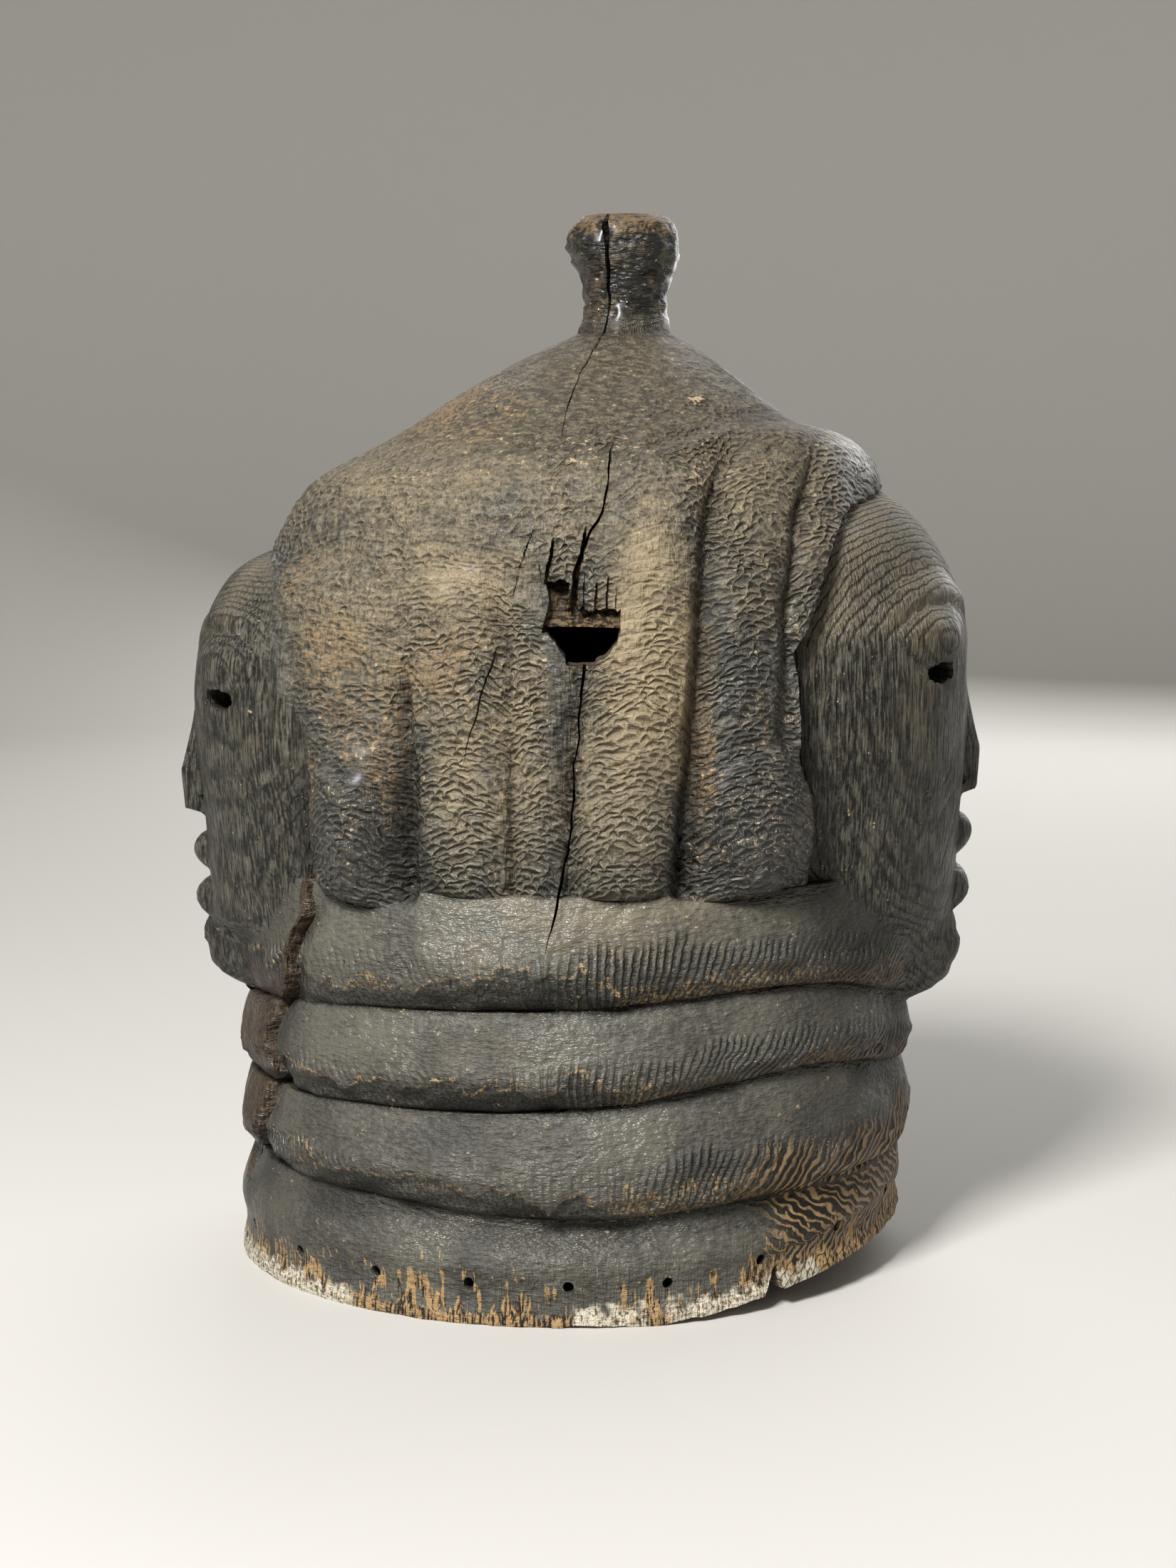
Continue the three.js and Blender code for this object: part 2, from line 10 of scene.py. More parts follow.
import bmesh
import bpy
import numpy as np
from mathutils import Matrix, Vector


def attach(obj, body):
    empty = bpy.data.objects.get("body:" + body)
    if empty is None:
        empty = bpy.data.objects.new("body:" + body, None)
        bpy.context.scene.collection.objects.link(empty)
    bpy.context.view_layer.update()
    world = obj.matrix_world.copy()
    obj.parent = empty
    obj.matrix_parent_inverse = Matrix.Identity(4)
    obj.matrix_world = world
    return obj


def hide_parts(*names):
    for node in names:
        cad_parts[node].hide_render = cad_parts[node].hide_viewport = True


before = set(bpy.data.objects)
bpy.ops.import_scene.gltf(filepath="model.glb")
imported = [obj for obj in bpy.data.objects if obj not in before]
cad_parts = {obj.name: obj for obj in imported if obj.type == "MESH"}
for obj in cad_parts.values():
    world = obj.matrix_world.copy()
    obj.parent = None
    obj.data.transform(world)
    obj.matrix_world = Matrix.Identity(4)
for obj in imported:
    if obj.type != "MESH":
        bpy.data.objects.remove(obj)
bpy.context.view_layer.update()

bl_info = {
    "name": "Double-face helmet mask",
    "version": (1, 0, 0),
    "blender": (4, 5, 0),
    "location": "3D View > Sidebar > Helmet mask",
    "description": "Carves, cracks and colours a wooden helmet mask with two faces",
    "category": "Object",
}

# Driving dimensions, as in the solid
HEIGHT = 394
NOSE_REACH = 153.5
CROWN_TOP = 350
KNOB_X = 16.7
HAIR_LINE = 153
FACE_CENTRE = 60
CAVITY_TOP = 325
CAVITY_SHOULDER = 200

# Heights of the neck's three grooves at eight points round the mask, from the east northwards
GROOVE_LEVELS = [
    [44, 43, 38, 41, 42, 41, 37, 43],
    [75, 83, 76, 74, 72, 73.5, 77, 87],
    [100, 114, 111, 109, 101, 109, 112.5, 117],
]
# The rim's lower edge lifts off the ground under the east face, as a power of X
RIM_LIFT = 17.5
RIM_LIFT_FROM = 25
RIM_LIFT_POWER = 1.4
# How far the rolls stand out of the neck's oval, and the ovals of neck and rim
ROLL_RISE = {"ends": 4.5, "sides": 8}
ROLL_TOP = 155.5
NECK = {"west": 127, "east": 124, "side": 107.5}
RIM = {"west": 132, "east": 124.5, "side": 114}
RIM_WAIST = 1.5
RIM_HOLES = {"count": 20, "first": -92, "radius": 1.9, "height": 14.5}
RIM_NOTCH = {"angle": -53, "width": 9, "height": 11}

# Outline of the hair and the crown: how far it reaches west, east and to either side at each height
HAIR_WEST = [
    (150, 142), (200, 144), (235, 143), (250, 139), (261, 130), (269, 118), (280, 112), (288, 107),
    (295, 101), (301, 91), (308, 77), (316, 63), (326, 48), (341, 21), (350, 1),
]
HAIR_EAST = [
    (150, 138), (220, 141), (250, 138), (272, 130), (283, 120.5), (292, 115), (300, 112), (306, 107.5),
    (311, 101), (314.5, 93), (317, 81), (323, 73), (330, 64), (338, 53), (344, 45), (350, 34),
]
HAIR_SIDE = [
    (150, 106), (175, 107), (205, 107.5), (235, 105), (260, 101), (280, 95), (295, 87), (310, 75),
    (325, 58), (340, 35), (350, 17.5),
]

# The faces share one pattern of features; lift says how much higher a face carries it
FACES = {
    "west": {
        "front": [
            (94, 100), (98, 120), (103, 137), (110, 143), (150, 143.5), (200, 146.5), (215, 147.5),
            (230, 146), (243, 142.5), (254, 137), (261, 131.5), (266, 124), (271, 112),
        ],
        "width": [
            (94, 20), (104, 38), (116, 47), (126, 56), (132, 72), (175, 80), (200, 85), (230, 84),
            (250, 76), (262, 64), (271, 50),
        ],
        "opening": [
            (125, 38), (150, 39), (205, 39), (220, 36), (235, 33), (250, 29), (262, 22), (267, 12),
            (271, 0),
        ],
        "edge": [(205, 1.5), (240, 7)],
        "lift": [(112, 0), (226, 0)],
    },
    "east": {
        "front": [
            (90, 100), (94, 121), (98, 133), (104, 142), (112, 143.5), (150, 144.5), (200, 147.5),
            (235, 147.5), (251, 145), (261, 141), (270, 136), (277, 131), (283, 125.5), (288, 119.5),
            (291, 115), (295, 112),
        ],
        "width": [
            (90, 18), (98, 36), (107, 46), (124, 60), (141, 76), (175, 82), (205, 85), (235, 84),
            (255, 78), (272, 72), (284, 62), (293, 50),
        ],
        "opening": [
            (139, 43), (155, 45.5), (200, 49), (235, 49), (245, 46.5), (272, 38.5), (284, 30), (291, 13),
            (294, 0),
        ],
        "edge": [(205, 1.5), (290, 1.5)],
        "lift": [(112, 0), (139, 3), (151, 6), (178, 8), (226, 10)],
    },
}
NOSE = {"top": 214, "tip": 185, "under": 170, "slope": 2.5, "width": 9, "bridge": 5}
LIPS = {"upper": 154, "lower": 136, "height": 7, "width": 15, "rise": 6}
CHIN = {"height": 116, "reach": 13, "width": 17, "rise": 3.5}
BROW = {"height": 247, "drop": 9, "from": 12, "to": 66, "thickness": 6, "rise": 2.2}
JAW_FILLET = 4
LID = {"height": 229, "y": 47, "half": 17, "reach": 12, "rise": 3.5}
EYE = {"height": 216, "turn": 33, "slit": 21, "open": 8}
NOSTRIL = {"height": 174, "turn": 4.2, "radius": 2.4}

# Lobes of hair along each side, with x, half-width and rise at each of the levels, and the bulbs that two of
# them end in
LOBE_LEVELS = [HAIR_LINE, 205, 245, 285, 312, 322]
LOBES = {
    "south": [
        {"x": [-79, -80, -82, -84, -84, -84], "half": [17, 18, 20, 22, 22, 22], "rise": [6, 3, 1, 0, 0, 0]},
        {"x": [-40, -41, -45, -50, -50, -50], "half": [17, 18, 20, 24, 24, 24], "rise": [5, 5, 3, 1, 0, 0]},
        {
            "x": [-13.5, -13, -13, -13, -13, -13],
            "half": [10, 10, 12, 14, 14, 14],
            "rise": [4, 4, 1.5, 0, 0, 0],
        },
        {"x": [15, 20, 24, 28, 33, 35], "half": [19, 20, 20, 19, 18, 18], "rise": [8, 9, 8, 7, 3, 0]},
        {"x": [59, 57, 57, 62, 72, 74], "half": [24, 18, 16, 16, 14, 14], "rise": [8, 8, 7, 6, 5, 0]},
        {"x": [84, 76, 79, 88, 95, 95], "half": [3, 4, 7, 10, 10, 10], "rise": [3, 4, 4, 4, 2, 0]},
    ],
    "north": [
        {"x": [-79, -80, -82, -84, -84, -84], "half": [18, 19, 20, 22, 22, 22], "rise": [6, 5, 4, 2, 0, 0]},
        {"x": [-43, -44, -46, -49, -50, -50], "half": [18, 18, 19, 20, 20, 20], "rise": [7, 7, 6, 5, 2, 0]},
        {"x": [-8, -8, -7, -6, -4, -4], "half": [18, 19, 20, 20, 20, 20], "rise": [7, 8, 8, 6, 3, 0]},
        {"x": [27, 28, 30, 33, 35, 35], "half": [17, 17, 17, 17, 16, 16], "rise": [7, 8, 8, 6, 3, 0]},
        {"x": [62, 60, 61, 65, 71, 72], "half": [20, 16, 15, 15, 14, 14], "rise": [7, 7, 7, 6, 5, 0]},
        {"x": [86, 84, 84, 90, 96, 96], "half": [4, 6, 8, 10, 10, 10], "rise": [3, 4, 4, 4, 2, 0]},
    ],
}
BULBS = {
    "south": [
        {"x": -79, "z": 179, "half": 17, "reach": 33, "rise": 12},
        {"x": 59, "z": 180, "half": 25, "reach": 35, "rise": 12.5},
    ],
    "north": [
        {"x": -79, "z": 180, "half": 19, "reach": 34, "rise": 12},
        {"x": 62, "z": 180, "half": 22, "reach": 33, "rise": 12},
    ],
}
# Reach of the hollow at each height, and radius of the knob
CAVITY = {
    "west": [(0, 119), (60, 114), (100, 114), (200, 120)],
    "east": [(0, 111), (60, 111), (100, 112), (200, 120)],
    "side": [(0, 103), (60, 98), (150, 94), (200, 92)],
}
KNOB_PROFILE = [
    (336, 12), (344, 19.5), (350, 17.8), (356, 16), (362, 15.6), (369, 17), (376, 19.8), (382, 20.9),
    (387, 20.4), (391, 18.5), (HEIGHT, 15),
]

# The gouge cuts that the hair is made of: height of a row, width of a cut, and rows in a growth ring
ROW_PITCH = 2.25
CUT_WIDTH = 5.8
ROWS_IN_RING = 2.3

# Furrows between the lobes of the south side: points (x, z) up the furrow, half-width and depth
FURROWS = [
    ([(35, 150), (39.5, 205), (42.5, 245), (46.5, 285), (54, 312)], 5.0, 3.4),
    ([(-25, 150), (-24.5, 205), (-27, 245), (-32, 280)], 3.5, 1.3),
    ([(-61, 148), (-60, 190), (-61, 215), (-63, 240)], 4.2, 4.4),
    ([(-4, 150), (-3, 225)], 3.5, 1.2),
    ([(77, 190), (72, 215), (73, 245), (79, 285), (86, 305)], 4.0, 2.0),
]

# How far the hair's lower edge dips on the south side: x, half-width and dip
HAIR_DIPS = [(-81, 16, 6.5), (-41, 13, 1.2), (-13, 8, 0.8), (17, 15, 1.4), (56, 20, 2.6)]

# The hole: its outline in the XZ plane, and the split recess above it
HOLE_OUTLINE = [
    (-12.4, 246), (-10.6, 243.4), (-8.3, 240.7), (-6.4, 237.7), (-4.8, 235.1), (-4.2, 233.1), (-1, 232.6),
    (1.5, 232.9), (5.3, 233.2), (5.8, 234.4), (9.7, 236.3), (12.7, 240.7), (14.2, 246),
]
HOLE_FROM = -130
HOLE_TO = -70
RECESS = {"step": -3.5, "east": 14.3, "foot": 244, "lip": 3}
RECESS_SHELF = {"top": 262, "depth": 10}
RECESS_LEDGE = {"top": 252, "depth": 7.5}
RECESS_WEST = [(244, -13), (247.4, -12.3), (255, -10.3), (261, -11.6), (266, -14.2)]
RECESS_SPAN = (-24, 18, 241, 286)
# Slits of torn fibre over the hole: top x and z, bottom x and z, width and depth
FIBRE_SLITS = [
    (-8.7, 277.5, -11.4, 261.5, 0.8, 4.0),
    (-0.8, 266, -2.0, 250, 1.5, 7.0),
    (2.6, 281, -0.6, 264, 0.8, 5.0),
    (6.2, 262, 5.6, 250, 0.55, 2.8),
    (10.0, 264, 9.4, 250, 0.5, 2.8),
    (-13.6, 268, -13.2, 262, 0.5, 2.0),
    (-15.4, 268, -15.0, 264, 0.4, 1.6),
    (1.8, 266, 1.6, 252, 0.4, 1.6),
    (12.9, 262, 12.6, 250, 0.4, 1.2),
    (-15.2, 280.5, -19.2, 271, 0.35, 1.6),
    (-19.2, 271, -22.6, 257, 0.35, 1.4),
]

# Marks of the south side as oval domes: x, z, the two half-sizes, how far each stands out and its power
SOUTH_MARKS = {
    "bulbs": [(-77, 172, 14.5, 23, 3.6, 0.7), (66, 177, 24, 26, 3.4, 0.7)],
    "worn_boss": [(-80, 289, 9, 10, 1.5, 1.5)],
    "plug": [(42.5, 230, 2.6, 4.2, 1.0, 0.8)],
    "loose_flake": [(42.6, 324.8, 4.0, 2.2, 1.4, 1.0)],
    "chips": [(-78, 230.5, 2.6, 4.2, -1.9, 0.8), (-16.5, 262, 6, 8, -1.6, 1.2)],
    "first_roll": [
        (-60, 130, 4.5, 13, -2.2, 1.4), (-51, 131, 8, 9, 1.2, 1.2), (-20, 126, 34, 7, 1.6, 1.0),
        (12, 133, 26, 6, -1.2, 1.0), (47, 128, 1.6, 12, -1.3, 1.2),
    ],
    "second_roll": [(-30, 88, 44, 8, 1.4, 1.0)],
    "third_roll": [
        (-95, 60, 9, 5, -1.4, 1.0), (-78, 53, 16, 7, 1.5, 1.0), (-40, 44, 14, 4, -1.0, 1.0),
    ],
    "rim": [(-62, 36, 22, 6, -1.2, 1.0), (-4, 33, 40, 6, -1.5, 1.0)],
}

# Where dust lies, where the wood has worn to rust brown and where the hair is worn smooth: x, z, the two
# half-sizes and the share there
# In DUSTY the patches on lobe D's crest, at x 24 and 25 with shares 1.4 and 1.2, also paint a highlight
# there
DUSTY = [
    (-60, 304, 74, 46, 0.8), (5, 330, 66, 36, 0.45), (-66, 248, 50, 54, 0.8), (-22, 196, 18, 64, 1.0),
    (-41, 194, 15, 50, 1.1), (24, 232, 26, 54, 1.4), (12, 184, 23, 48, 1.2), (64, 290, 42, 50, 0.8),
    (-42, 262, 34, 46, 0.9), (-5, 288, 40, 30, 0.7), (25, 264, 17, 46, 1.2), (0, 149, 70, 8, 0.5),
    (0, 138, 74, 15, 0.3), (-30, 96, 50, 9, 0.2),
]
RUSTY = [
    (-86, 226, 26, 32, 0.75), (-64, 202, 14, 34, 0.9), (-52, 236, 26, 22, 0.6), (41, 200, 9, 44, 0.9),
    (56, 262, 22, 18, 0.35), (-104, 262, 18, 28, 0.5), (66, 214, 20, 18, 0.5), (-98, 190, 7, 44, 0.75),
    (84, 196, 7, 44, 0.75), (22, 256, 18, 16, 0.4), (-62, 326, 56, 24, 0.85), (-3, 216, 6, 26, 0.6),
    (0, 148, 90, 6, 0.3), (100, 95, 14, 26, 0.35), (-62, 70, 20, 5, 0.5),
]
SMOOTH = [
    (-7, 222, 8, 34, 0.9), (17, 250, 9, 26, 0.8), (27, 278, 15, 26, 0.9), (-16, 262, 9, 18, 0.8),
    (5, 340, 80, 36, 0.85), (-66, 316, 64, 28, 0.8), (-38, 288, 44, 26, 0.85), (8, 288, 16, 22, 0.7),
    (70, 306, 16, 10, 0.4), (-80, 289, 11, 12, 0.9), (38, 230, 4, 50, 0.6), (3, 185, 4, 40, 0.6),
    (-27, 175, 3, 26, 0.6), (-80, 178, 15, 30, 0.9), (-78, 256, 34, 60, 0.62), (-44, 262, 22, 44, 0.5),
    (-58, 226, 26, 34, 0.42),
]
# Where pale flecks gather in the hair; along the torn crease under the crown they also paint its small
# highlights
FLECKED = [
    (0, 306, 42, 10, 0.9), (42.6, 324.8, 5.0, 1.9, 2.6), (44, 302, 9, 16, 0.8), (-3, 290, 9, 26, 0.5),
    (92, 306, 14, 12, 0.7), (0, 334, 60, 24, 0.3), (-60, 300, 50, 34, 0.4), (-84, 214, 26, 26, 0.6),
    (-88, 170, 12, 26, 0.6), (-3, 200, 4, 30, 0.5), (62, 176, 28, 34, 0.9), (-80, 176, 18, 28, 0.7),
    (20, 215, 30, 34, 0.3), (-62, 215, 34, 40, 0.3),
]
# Where the hair's black coat lies thick and glossy: the bulbs and the lobes' lower ends
TARRY = [
    (-78, 174, 17, 28, 0.75), (64, 176, 26, 32, 1.0), (-42, 160, 15, 12, 0.4), (18, 160, 17, 12, 0.4),
    (62, 222, 12, 24, 0.5), (98, 300, 12, 16, 0.6), (-88, 170, 7, 24, 0.9),
]
# Where the rim carries a pale crust: distance round the neck from the middle of the south side, half-size
CRUSTED = [(60, 34), (-128, 50), (10, 14), (230, 60), (-230, 50)]

# Cracks: points (x, z) down the south side, the half-width at each point and the greatest depth
CRACKS = {
    "crown": {
        "path": [
            (9.2, 396), (9.1, 391), (10.4, 374.5), (11.2, 363.3), (10.7, 356), (9.1, 350), (4.8, 343),
            (-0.1, 334.4), (-1.1, 330.4), (-4.9, 320.5), (-6.8, 309),
        ],
        "half": [1.35, 1.3, 1.0, 0.7, 0.5, 0.5, 0.35, 0.3, 0.4, 0.25, 0.05],
        "depth": 9,
    },
    "above_hole": {
        "path": [
            (13, 311), (10.5, 306), (9.7, 296.5), (7.7, 285.3), (4, 278.8), (1, 271.5), (-1.7, 264),
            (-2.2, 258),
        ],
        "half": [0.05, 0.35, 0.4, 0.5, 0.65, 0.6, 0.8, 0.8],
        "depth": 8,
    },
    "below_hole": {
        "path": [
            (1.4, 234.5), (1.3, 224.7), (0.3, 212.5), (-1.4, 200.6), (-2.4, 187.3), (-3.4, 175),
            (-5.4, 162.8), (-7.1, 152.3), (-9.3, 143.3), (-12.2, 132.2),
        ],
        "half": [0.75, 0.5, 0.4, 0.35, 0.45, 0.4, 0.55, 0.6, 0.4, 0.05],
        "depth": 10,
    },
    "west_lock": {
        "path": [(-27.4, 241.4), (-30.6, 233.2), (-34.2, 221), (-37.2, 210.8), (-40.5, 198)],
        "half": [0.08, 0.4, 0.35, 0.3, 0.05],
        "depth": 5,
    },
    "west_hairline": {
        "path": [(-28.7, 259), (-28.3, 252), (-28.6, 245)],
        "half": [0.05, 0.2, 0.05],
        "depth": 2,
    },
}
SPLIT = {
    "path": [
        (-97.0, 158), (-97.4, 152), (-98.4, 140.1), (-102.7, 133), (-105.7, 124.6), (-107.7, 111.9),
        (-111.5, 102.9), (-114.4, 93.8), (-115.2, 84.2), (-113.8, 78), (-118.8, 64), (-122, 54.4),
        (-126.3, 39.1), (-127.1, 33), (-128, 27),
    ],
    "half": [0.5, 1.4, 1.6, 2.4, 2.8, 2.4, 2.8, 2.5, 2.8, 2.9, 2.6, 2.1, 1.8, 1.1, 0.1],
    "depth": 13,
}


# Numbers and curves


def smoothstep(x, low, high):
    """0 below low, 1 above high, and 3t^2 - 2t^3 between them."""
    t = np.clip((x - low) / (high - low), 0, 1)
    return t * t * (3 - 2 * t)


def lerp(a, b, t):
    """a where t is 0, b where t is 1, and a straight line between them."""
    return a + (b - a) * t


def dome(t, power=0.5):
    """A rounded bump: (1 - t^2)^power, 1 at the middle and 0 at either edge."""
    return np.maximum(0, 1 - t * t) ** power


def fract(x):
    """What is left of x above the whole number below it."""
    return x - np.floor(x)


def curve(points):
    """A smooth curve through points (at, value) that never overshoots them: cubic pieces whose slope at a
    point is the harmonic mean of the steps on its two sides, or 0 where the steps turn back."""
    at, value = np.array(points, float).T
    step = np.diff(value) / np.diff(at)
    before = np.concatenate([step[:1], step])
    after = np.concatenate([step, step[-1:]])
    turning = before * after <= 0
    slope = np.where(turning, 0, 2 * before * after / np.where(turning, 1, before + after))

    def value_at(x):
        x = np.clip(x, at[0], at[-1])
        k = np.clip(np.searchsorted(at, x, side="right") - 1, 0, len(at) - 2)
        span = at[k + 1] - at[k]
        t = (x - at[k]) / span
        return (
            value[k] * (1 + 2 * t) * (1 - t) ** 2
            + value[k + 1] * t * t * (3 - 2 * t)
            + span * slope[k] * t * (1 - t) ** 2
            + span * slope[k + 1] * t * t * (t - 1)
        )

    return value_at


def around(values):
    """A smooth closed curve through values at equal steps round the mask, from the east: cubic pieces whose
    slope at a value is half the step between its two neighbours."""
    values = np.array(values, float)
    count = len(values)

    def value_at(angle):
        place = angle / (360 / count)
        i = np.floor(place).astype(int)
        t = place - i
        a, b, c, d = (values[(i + k) % count] for k in (-1, 0, 1, 2))
        return b + 0.5 * t * (c - a + t * (2 * a - 5 * b + 4 * c - d + t * (3 * (b - c) + d - a)))

    return value_at


def scattered(i, j, k, seed):
    """Evenly spread numbers from 0 to 1, one for each whole-number place: the place's three numbers are
    multiplied by large odd numbers, folded together and their middle bits kept."""
    i, j, k = (np.asarray(v).astype(np.int64).astype(np.uint64) for v in (i, j, k))
    mixed = i * np.uint64(73856093) ^ j * np.uint64(19349663) ^ k * np.uint64(83492791)
    mixed = (mixed ^ np.uint64(seed * 2654435761 % 2**32)) * np.uint64(0x9E3779B97F4A7C15)
    mixed = (mixed ^ (mixed >> np.uint64(29))) * np.uint64(0xBF58476D1CE4E5B9)
    return ((mixed >> np.uint64(34)) & np.uint64(0xFFFFFF)).astype(float) / 0xFFFFFF


def noise(point, size, seed):
    """Soft noise from -1 to 1: scattered numbers at the corners of cubes of this size, blended smoothly
    inside each cube. point is (x, y, z) arrays and size is one number or three."""
    sizes = np.broadcast_to(np.array(size, float), (3,))
    place = [np.asarray(v) / s + 0.37 * seed for v, s in zip(point, sizes)]
    cell = [np.floor(v) for v in place]
    t = [smoothstep(v - c, 0, 1) for v, c in zip(place, cell)]
    total = 0
    for corner in range(8):
        bits = (corner & 1, corner >> 1 & 1, corner >> 2 & 1)
        share = 1
        for axis in range(3):
            share = share * (t[axis] if bits[axis] else 1 - t[axis])
        total = total + share * scattered(cell[0] + bits[0], cell[1] + bits[1], cell[2] + bits[2], seed)
    return 2 * total - 1


# The surface, as a distance from the axis at each angle and height


def oval_radius(angle, west, east, side):
    """Distance from the axis to an oval with its own reach west, east and to the sides, by the ellipse
    equation of the quarter that the angle is in."""
    c = np.cos(np.radians(angle))
    s = np.sin(np.radians(angle))
    return 1 / np.hypot(c / np.where(c < 0, west, east), s / side)


def axis_x(z):
    """The vertical axis that radii are measured from leans east under the knob."""
    return KNOB_X * smoothstep(z, 290, 345)


grooves = [around(level) for level in GROOVE_LEVELS]


def rim_level(angle):
    """Height of the rim's lower edge: 0, and rising as a power of X under the east face."""
    x = oval_radius(angle, RIM["west"], RIM["east"], RIM["side"]) * np.cos(np.radians(angle))
    share = np.clip((x - RIM_LIFT_FROM) / (RIM["east"] - RIM_LIFT_FROM), 0, 1)
    return RIM_LIFT * share**RIM_LIFT_POWER


def neck_levels(angle):
    """Heights of the rim's edge, the three grooves and the hidden top of the first roll."""
    top = np.full(np.shape(angle), float(ROLL_TOP))
    return [rim_level(angle), *(level(angle) for level in grooves), top]


def neck_place(angle, z):
    """Which band of the neck a point is in, 0 for the rim and 1 to 3 for the rolls upwards, and how far up
    the band it is, from 0 to 1."""
    levels = np.stack(neck_levels(angle))
    band = np.clip((levels[1:4] < z).sum(0), 0, 3)
    low = np.take_along_axis(levels, band[None], 0)[0]
    high = np.take_along_axis(levels, band[None] + 1, 0)[0]
    return band, np.clip((z - low) / (high - low), 0, 1)


def neck_radius(angle, z):
    """Rim and neck: an oval that widens to the rim below the lowest groove, and above it one roll for each
    band, as the 0.7th power of a sine bent so that a roll is fullest a third of the way up."""
    band, up = neck_place(angle, z)
    oval = oval_radius(angle, NECK["west"], NECK["east"], NECK["side"])
    rim = oval_radius(angle, RIM["west"], RIM["east"], RIM["side"])
    down = 1 - up
    flare = lerp(oval, rim, smoothstep(down, 0, 0.45)) - RIM_WAIST * dome((down - 0.72) / 0.22, 1)
    rise = lerp(ROLL_RISE["ends"], ROLL_RISE["sides"], np.sin(np.radians(angle)) ** 2)
    roll = oval + rise * np.maximum(0, np.sin(math.pi * up**0.65)) ** 0.7
    return np.where(band == 0, flare, roll)


hair_west = curve(HAIR_WEST)
hair_east = curve(HAIR_EAST)
hair_side = curve(HAIR_SIDE)
knob_profile = curve(KNOB_PROFILE)
lobe_curves = {
    side: [{key: curve(list(zip(LOBE_LEVELS, lobe[key]))) for key in lobe} for lobe in lobes]
    for side, lobes in LOBES.items()
}
face_curves = {name: {key: curve(points) for key, points in face.items()} for name, face in FACES.items()}


def oval_away(x, z, at_x, at_z, half_x, half_z):
    """Distance from the middle of an oval patch of the side, as a share of the way to its edge."""
    return np.hypot((x - at_x) / half_x, (z - at_z) / half_z)


def lobe_rise(side, x, z):
    """How far the hair stands out: the largest of the lobes' and bulbs' domes at that place."""
    rises = []
    for lobe in lobe_curves[side]:
        rises.append(lobe["rise"](z) * dome((x - lobe["x"](z)) / lobe["half"](z), 0.75))
    for bulb in BULBS[side]:
        away = oval_away(x, z, bulb["x"], bulb["z"], bulb["half"], bulb["reach"])
        rises.append(bulb["rise"] * dome(away, 0.8))
    return np.maximum.reduce(rises)


def hair_line(angle):
    """Height of the hair's lower edge: it dips in a dome under each lobe of the south side."""
    x = NECK["west"] * np.cos(np.radians(angle))
    dips = np.maximum.reduce([dip * dome((x - at) / half, 0.6) for at, half, dip in HAIR_DIPS])
    return HAIR_LINE - np.where(np.sin(np.radians(angle)) < 0, dips, 0)


def hair_rise(angle, z):
    """Radius of the hair's oval, and how far its lobes stand out of it on the side that the angle is on."""
    x0 = axis_x(z)
    oval = oval_radius(angle, hair_west(z) + x0, hair_east(z) - x0, hair_side(z))
    x = x0 + oval * np.cos(np.radians(angle))
    across = np.sin(np.radians(angle))
    rise = np.where(across < 0, lobe_rise("south", x, z), lobe_rise("north", x, z))
    return oval, rise * np.abs(across) ** 0.5


def feature_rise(y, z, reach):
    """Nose, lips, chin, brows, eyelids and a low boss on the cheek, as how far they stand out of the
    face's oval: each is a product of a curve across and a curve down, and the largest one shows."""
    across = np.abs(y)
    down = np.clip((NOSE["top"] - z) / (NOSE["top"] - NOSE["tip"]), 0, 1)
    nose_half = lerp(NOSE["bridge"], NOSE["width"], down)
    nose = reach * down**1.3 * smoothstep(z, NOSE["under"] - NOSE["slope"], NOSE["under"])
    nose = nose * (1 - smoothstep(across, nose_half * 0.35, nose_half * 1.25))
    parts = [nose]
    for height in (LIPS["upper"], LIPS["lower"]):
        lip = dome((z - height) / LIPS["height"], 0.7) * dome(across / LIPS["width"], 0.7)
        parts.append(LIPS["rise"] * lip)
    chin = dome((z - CHIN["height"]) / CHIN["reach"], 1) * dome(across / CHIN["width"], 1)
    parts.append(CHIN["rise"] * chin)
    along = (2 * across - BROW["from"] - BROW["to"]) / (BROW["to"] - BROW["from"])
    brow_line = BROW["height"] - BROW["drop"] * along**2
    parts.append(BROW["rise"] * dome((z - brow_line) / BROW["thickness"], 1) * dome(along, 0.5))
    lid = np.hypot((across - LID["y"]) / LID["half"], (z - LID["height"]) / LID["reach"])
    parts.append(LID["rise"] * dome(lid, 0.8))
    return np.maximum.reduce(parts)


def face_radius(face, off, z):
    """A face: the ray at this angle cut by an ellipse round FACE_CENTRE, plus the features."""
    curves = face_curves[face]
    c = np.cos(np.radians(off))
    s = np.sin(np.radians(off))
    long = curves["front"](z) - FACE_CENTRE
    wide = curves["width"](z)
    a = (c / long) ** 2 + (s / wide) ** 2
    b = FACE_CENTRE * c / long**2
    oval = (b + np.sqrt(np.maximum(0, b * b - a * ((FACE_CENTRE / long) ** 2 - 1)))) / a
    lift = curves["lift"](z)
    reach = NOSE_REACH - curves["front"](NOSE["tip"] + lift)
    return oval + feature_rise(oval * s, z - lift, reach)


def nearer_face(angle):
    """Whether the nearer face is the west one, and degrees from its middle."""
    turn = np.mod(angle + 90, 360) - 90
    west = turn > 90
    return west, np.where(west, turn - 180, turn)


def by_face(west, key, z):
    """A measure of the nearer face at each height."""
    return np.where(west, face_curves["west"][key](z), face_curves["east"][key](z))


def in_face(angle, z):
    """1 inside the opening of a face, 0 in the hair, with a smooth step at the hair's edge."""
    west, off = nearer_face(angle)
    opening = by_face(west, "opening", z)
    edge = by_face(west, "edge", z)
    return np.where(opening > 0, 1 - smoothstep(np.abs(off), opening - edge, opening + edge), 0)


